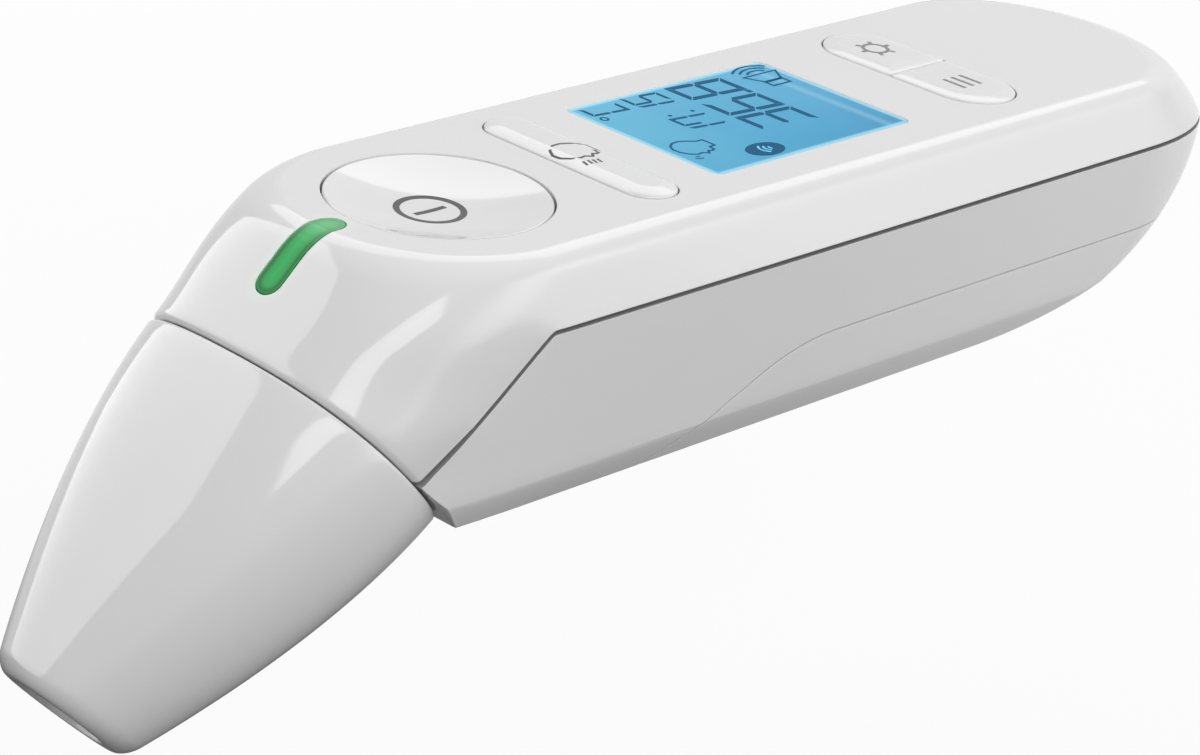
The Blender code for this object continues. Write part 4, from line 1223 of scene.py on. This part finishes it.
def finish_nodes():
    """Every CAD node that still shows gets its own node material."""
    metal, wrap, glass = {"Metallic": 1.0}, {"Coat_Weight": 0.5}, {"Transmission_Weight": 0.6}
    finishes = (
        ("grey_plastic", "grey_moulding", (0.26, 0.27, 0.28), (0.31, 0.32, 0.33), 0.5, 0.15),
        ("black_plastic", "black_moulding", (0.018, 0.018, 0.02), (0.03, 0.03, 0.032), 0.45, 0.2),
        ("circuit_board", "solder_mask", (0.015, 0.16, 0.06), (0.03, 0.24, 0.10), 0.35, 0.1, 700.0),
        ("flex_film", "flex_film_amber", (0.42, 0.20, 0.05), (0.58, 0.30, 0.09), 0.35, 0.05),
        ("steel", "turned_steel", (0.50, 0.50, 0.52), (0.62, 0.62, 0.64), 0.28, 0.06, metal),
        ("nickel_strip", "nickel_plate", (0.62, 0.60, 0.56), (0.74, 0.72, 0.68), 0.22, 0.05, metal),
        ("cell_jacket", "cell_wrap", (0.05, 0.07, 0.11), (0.09, 0.11, 0.16), 0.28, 0.03, wrap),
        ("silicone", "soft_silicone", (0.20, 0.20, 0.21), (0.26, 0.26, 0.27), 0.65, 0.2),
        ("clear_window", "clear_led", (0.62, 0.72, 0.66), (0.72, 0.80, 0.74), 0.08, 0.0, glass),
        ("lcd_glass", "panel_glass", (0.06, 0.30, 0.50), (0.09, 0.38, 0.58), 0.1, 0.0),
        ("backlight_plate", "light_plate", (0.30, 0.62, 0.80), (0.36, 0.70, 0.86), 0.35, 0.02),
    )
    by_slot = {"gloss_white_plastic": WHITE, "green_light_guide": GREEN}
    for slot, *values in finishes:
        extra = values.pop() if isinstance(values[-1], dict) else {}
        by_slot[slot] = moulded(*values, **extra)[0]
    for part in frame["record"]["subparts"]:
        data = frame["nodes"][part["node"]].data
        data.materials.clear()
        data.materials.append(by_slot[part["material_slot"]])


# ---------------------------------------------------------------- stage


def far_side(tree, where, span, highest):
    """Rises from nothing to highest towards the side away from the camera."""
    away = Vector((-CAMERA_BACK[0], -CAMERA_BACK[1], 0.0)).normalized()
    inputs = {0: where, 1: away}
    run = node(tree, "ShaderNodeVectorMath", inputs, operation="DOT_PRODUCT").outputs["Value"]
    scaled = maths(tree, "MULTIPLY", run, highest / span)
    return maths(tree, "MINIMUM", maths(tree, "MAXIMUM", scaled, 0.0), highest)


def floor():
    """A pale floor that glows for the camera and, further back, in reflections."""
    mesh = bmesh.new()
    bmesh.ops.create_grid(mesh, x_segments=1, y_segments=1, size=6000.0)
    bmesh.ops.translate(mesh, verts=mesh.verts, vec=(0.0, 0.0, cad_box[0].z / MM - FLOOR_DROP))
    made, tree, shader, where = start_material("pale_floor")
    tone = mix(tree, noise(tree, where, 2.0), (FLOOR_TONE * 0.97,) * 3, (FLOOR_TONE * 1.03,) * 3)
    path = node(tree, "ShaderNodeLightPath").outputs
    back = far_side(tree, where, 0.1, FLOOR_BACK)
    mirrored = maths(tree, "MULTIPLY", path["Is Glossy Ray"], back)
    glow = maths(tree, "MULTIPLY_ADD", path["Is Camera Ray"], FLOOR_GLOW, mirrored)
    feed(tree, shader, {
        "Base Color": tone, "Roughness": 0.9,
        "Emission Color": (1.0, 1.0, 1.0, 1.0), "Emission Strength": glow,
    })
    make("floor", mesh, made)


def direction(azimuth, elevation):
    """A unit vector; azimuth is anticlockwise from +X seen from above, both in degrees."""
    around, above = math.radians(azimuth), math.radians(elevation)
    level = math.cos(above)
    return Vector((level * math.cos(around), level * math.sin(around), math.sin(above)))


def fade_edges(data, share):
    """Fades a panel's brightness to nothing over a share of its width and height."""
    data.use_nodes = True
    tree = data.node_tree
    across = apart(tree, node(tree, "ShaderNodeNewGeometry").outputs["Parametric"])
    strength = 1.0
    for socket in (across[0], across[1]):
        nearest = maths(tree, "MINIMUM", socket, maths(tree, "SUBTRACT", 1.0, socket))
        rise = maths(tree, "MINIMUM", maths(tree, "DIVIDE", nearest, share), 1.0)
        strength = maths(tree, "MULTIPLY", maths(tree, "SMOOTH_MIN", rise, 1.0, 0.1), strength)
    tree.links.new(strength, tree.nodes["Emission"].inputs["Strength"])


def panel(
    name, towards, roll, half_angles, radiance,
    target=(-0.062, -0.008, 0.015), mirrored=True, lighting=True, fade=0.0,
):
    """A soft panel of light, seen from the target towards an azimuth and elevation."""
    width, height = (2 * PANEL_DISTANCE * math.tan(math.radians(half)) for half in half_angles)
    data = bpy.data.lights.new(name, "AREA")
    data.shape = "RECTANGLE"
    data.size, data.size_y = width, height
    data.energy = radiance * math.pi * width * height
    if fade:
        fade_edges(data, fade)
    obj = bpy.data.objects.new(name, data)
    outward = direction(*towards)
    obj.location = Vector(target) + outward * PANEL_DISTANCE
    aim = (-outward).to_track_quat("-Z", "Y")
    obj.rotation_mode = "QUATERNION"
    obj.rotation_quaternion = aim @ Quaternion((0.0, 0.0, 1.0), math.radians(roll))
    obj.visible_camera = False
    obj.visible_glossy = mirrored
    obj.visible_diffuse = lighting
    bpy.context.scene.collection.objects.link(obj)


def studio():
    """The world's light, and soft panels placed where the case mirrors or catches them."""
    world = bpy.data.worlds.new("studio")
    world.use_nodes = True
    tree = world.node_tree
    path = node(tree, "ShaderNodeLightPath").outputs
    ahead = node(tree, "ShaderNodeTexCoord").outputs["Generated"]
    back = far_side(tree, ahead, 0.6, WORLD_BACK)
    mirrored = maths(tree, "MULTIPLY", path["Is Glossy Ray"], back)
    seen = (path["Is Camera Ray"], WORLD_SEEN - WORLD_LIGHT, WORLD_LIGHT)
    strength = maths(tree, "ADD", maths(tree, "MULTIPLY_ADD", *seen), mirrored)
    feed(tree, tree.nodes["Background"], {0: (1.0, 1.0, 1.0, 1.0), 1: strength})
    scene = bpy.context.scene
    scene.world = world
    scene.view_settings.view_transform = "Standard"
    panel("wedge_panel", (-121, 39), 18, (16, 10.5), 2.6, lighting=False, fade=0.08)
    panel("key_panel", (-104, 38), 0, (28, 16), 1.95, mirrored=False)
    panel("nose_panel", (125, 15), -11, (40, 41), 1.65, lighting=False)
    panel("nose_fill", (150, 30), 0, (30, 20), 0.5, mirrored=False)
    panel("back_panel", (35, 47), 0, (32, 15), 1.1, target=(-0.02, 0.0, 0.02))
    panel("side_panel", (-58, 8), 0, (38, 24), 2.1, target=(0.0, 0.0, 0.01), fade=0.42)


def camera():
    data = bpy.data.cameras.new("camera")
    data.lens = CAMERA_LENS
    data.sensor_width = CAMERA_SENSOR
    obj = bpy.data.objects.new("camera", data)
    axes = (CAMERA_RIGHT, CAMERA_UP, CAMERA_BACK)
    turn = Matrix([Vector(axis) for axis in axes]).transposed()
    obj.rotation_mode = "QUATERNION"
    obj.rotation_quaternion = turn.to_quaternion()
    obj.location = CAMERA_PLACE
    bpy.context.scene.collection.objects.link(obj)
    bpy.context.scene.camera = obj


finish_nodes()
upper_shell()
lower_shell()
door_shell()
light_guide()
drop_tools()
cap_shell()
pill_keys()
power_key()
display_face()
display_marks()
key_marks()
floor()
studio()
camera()
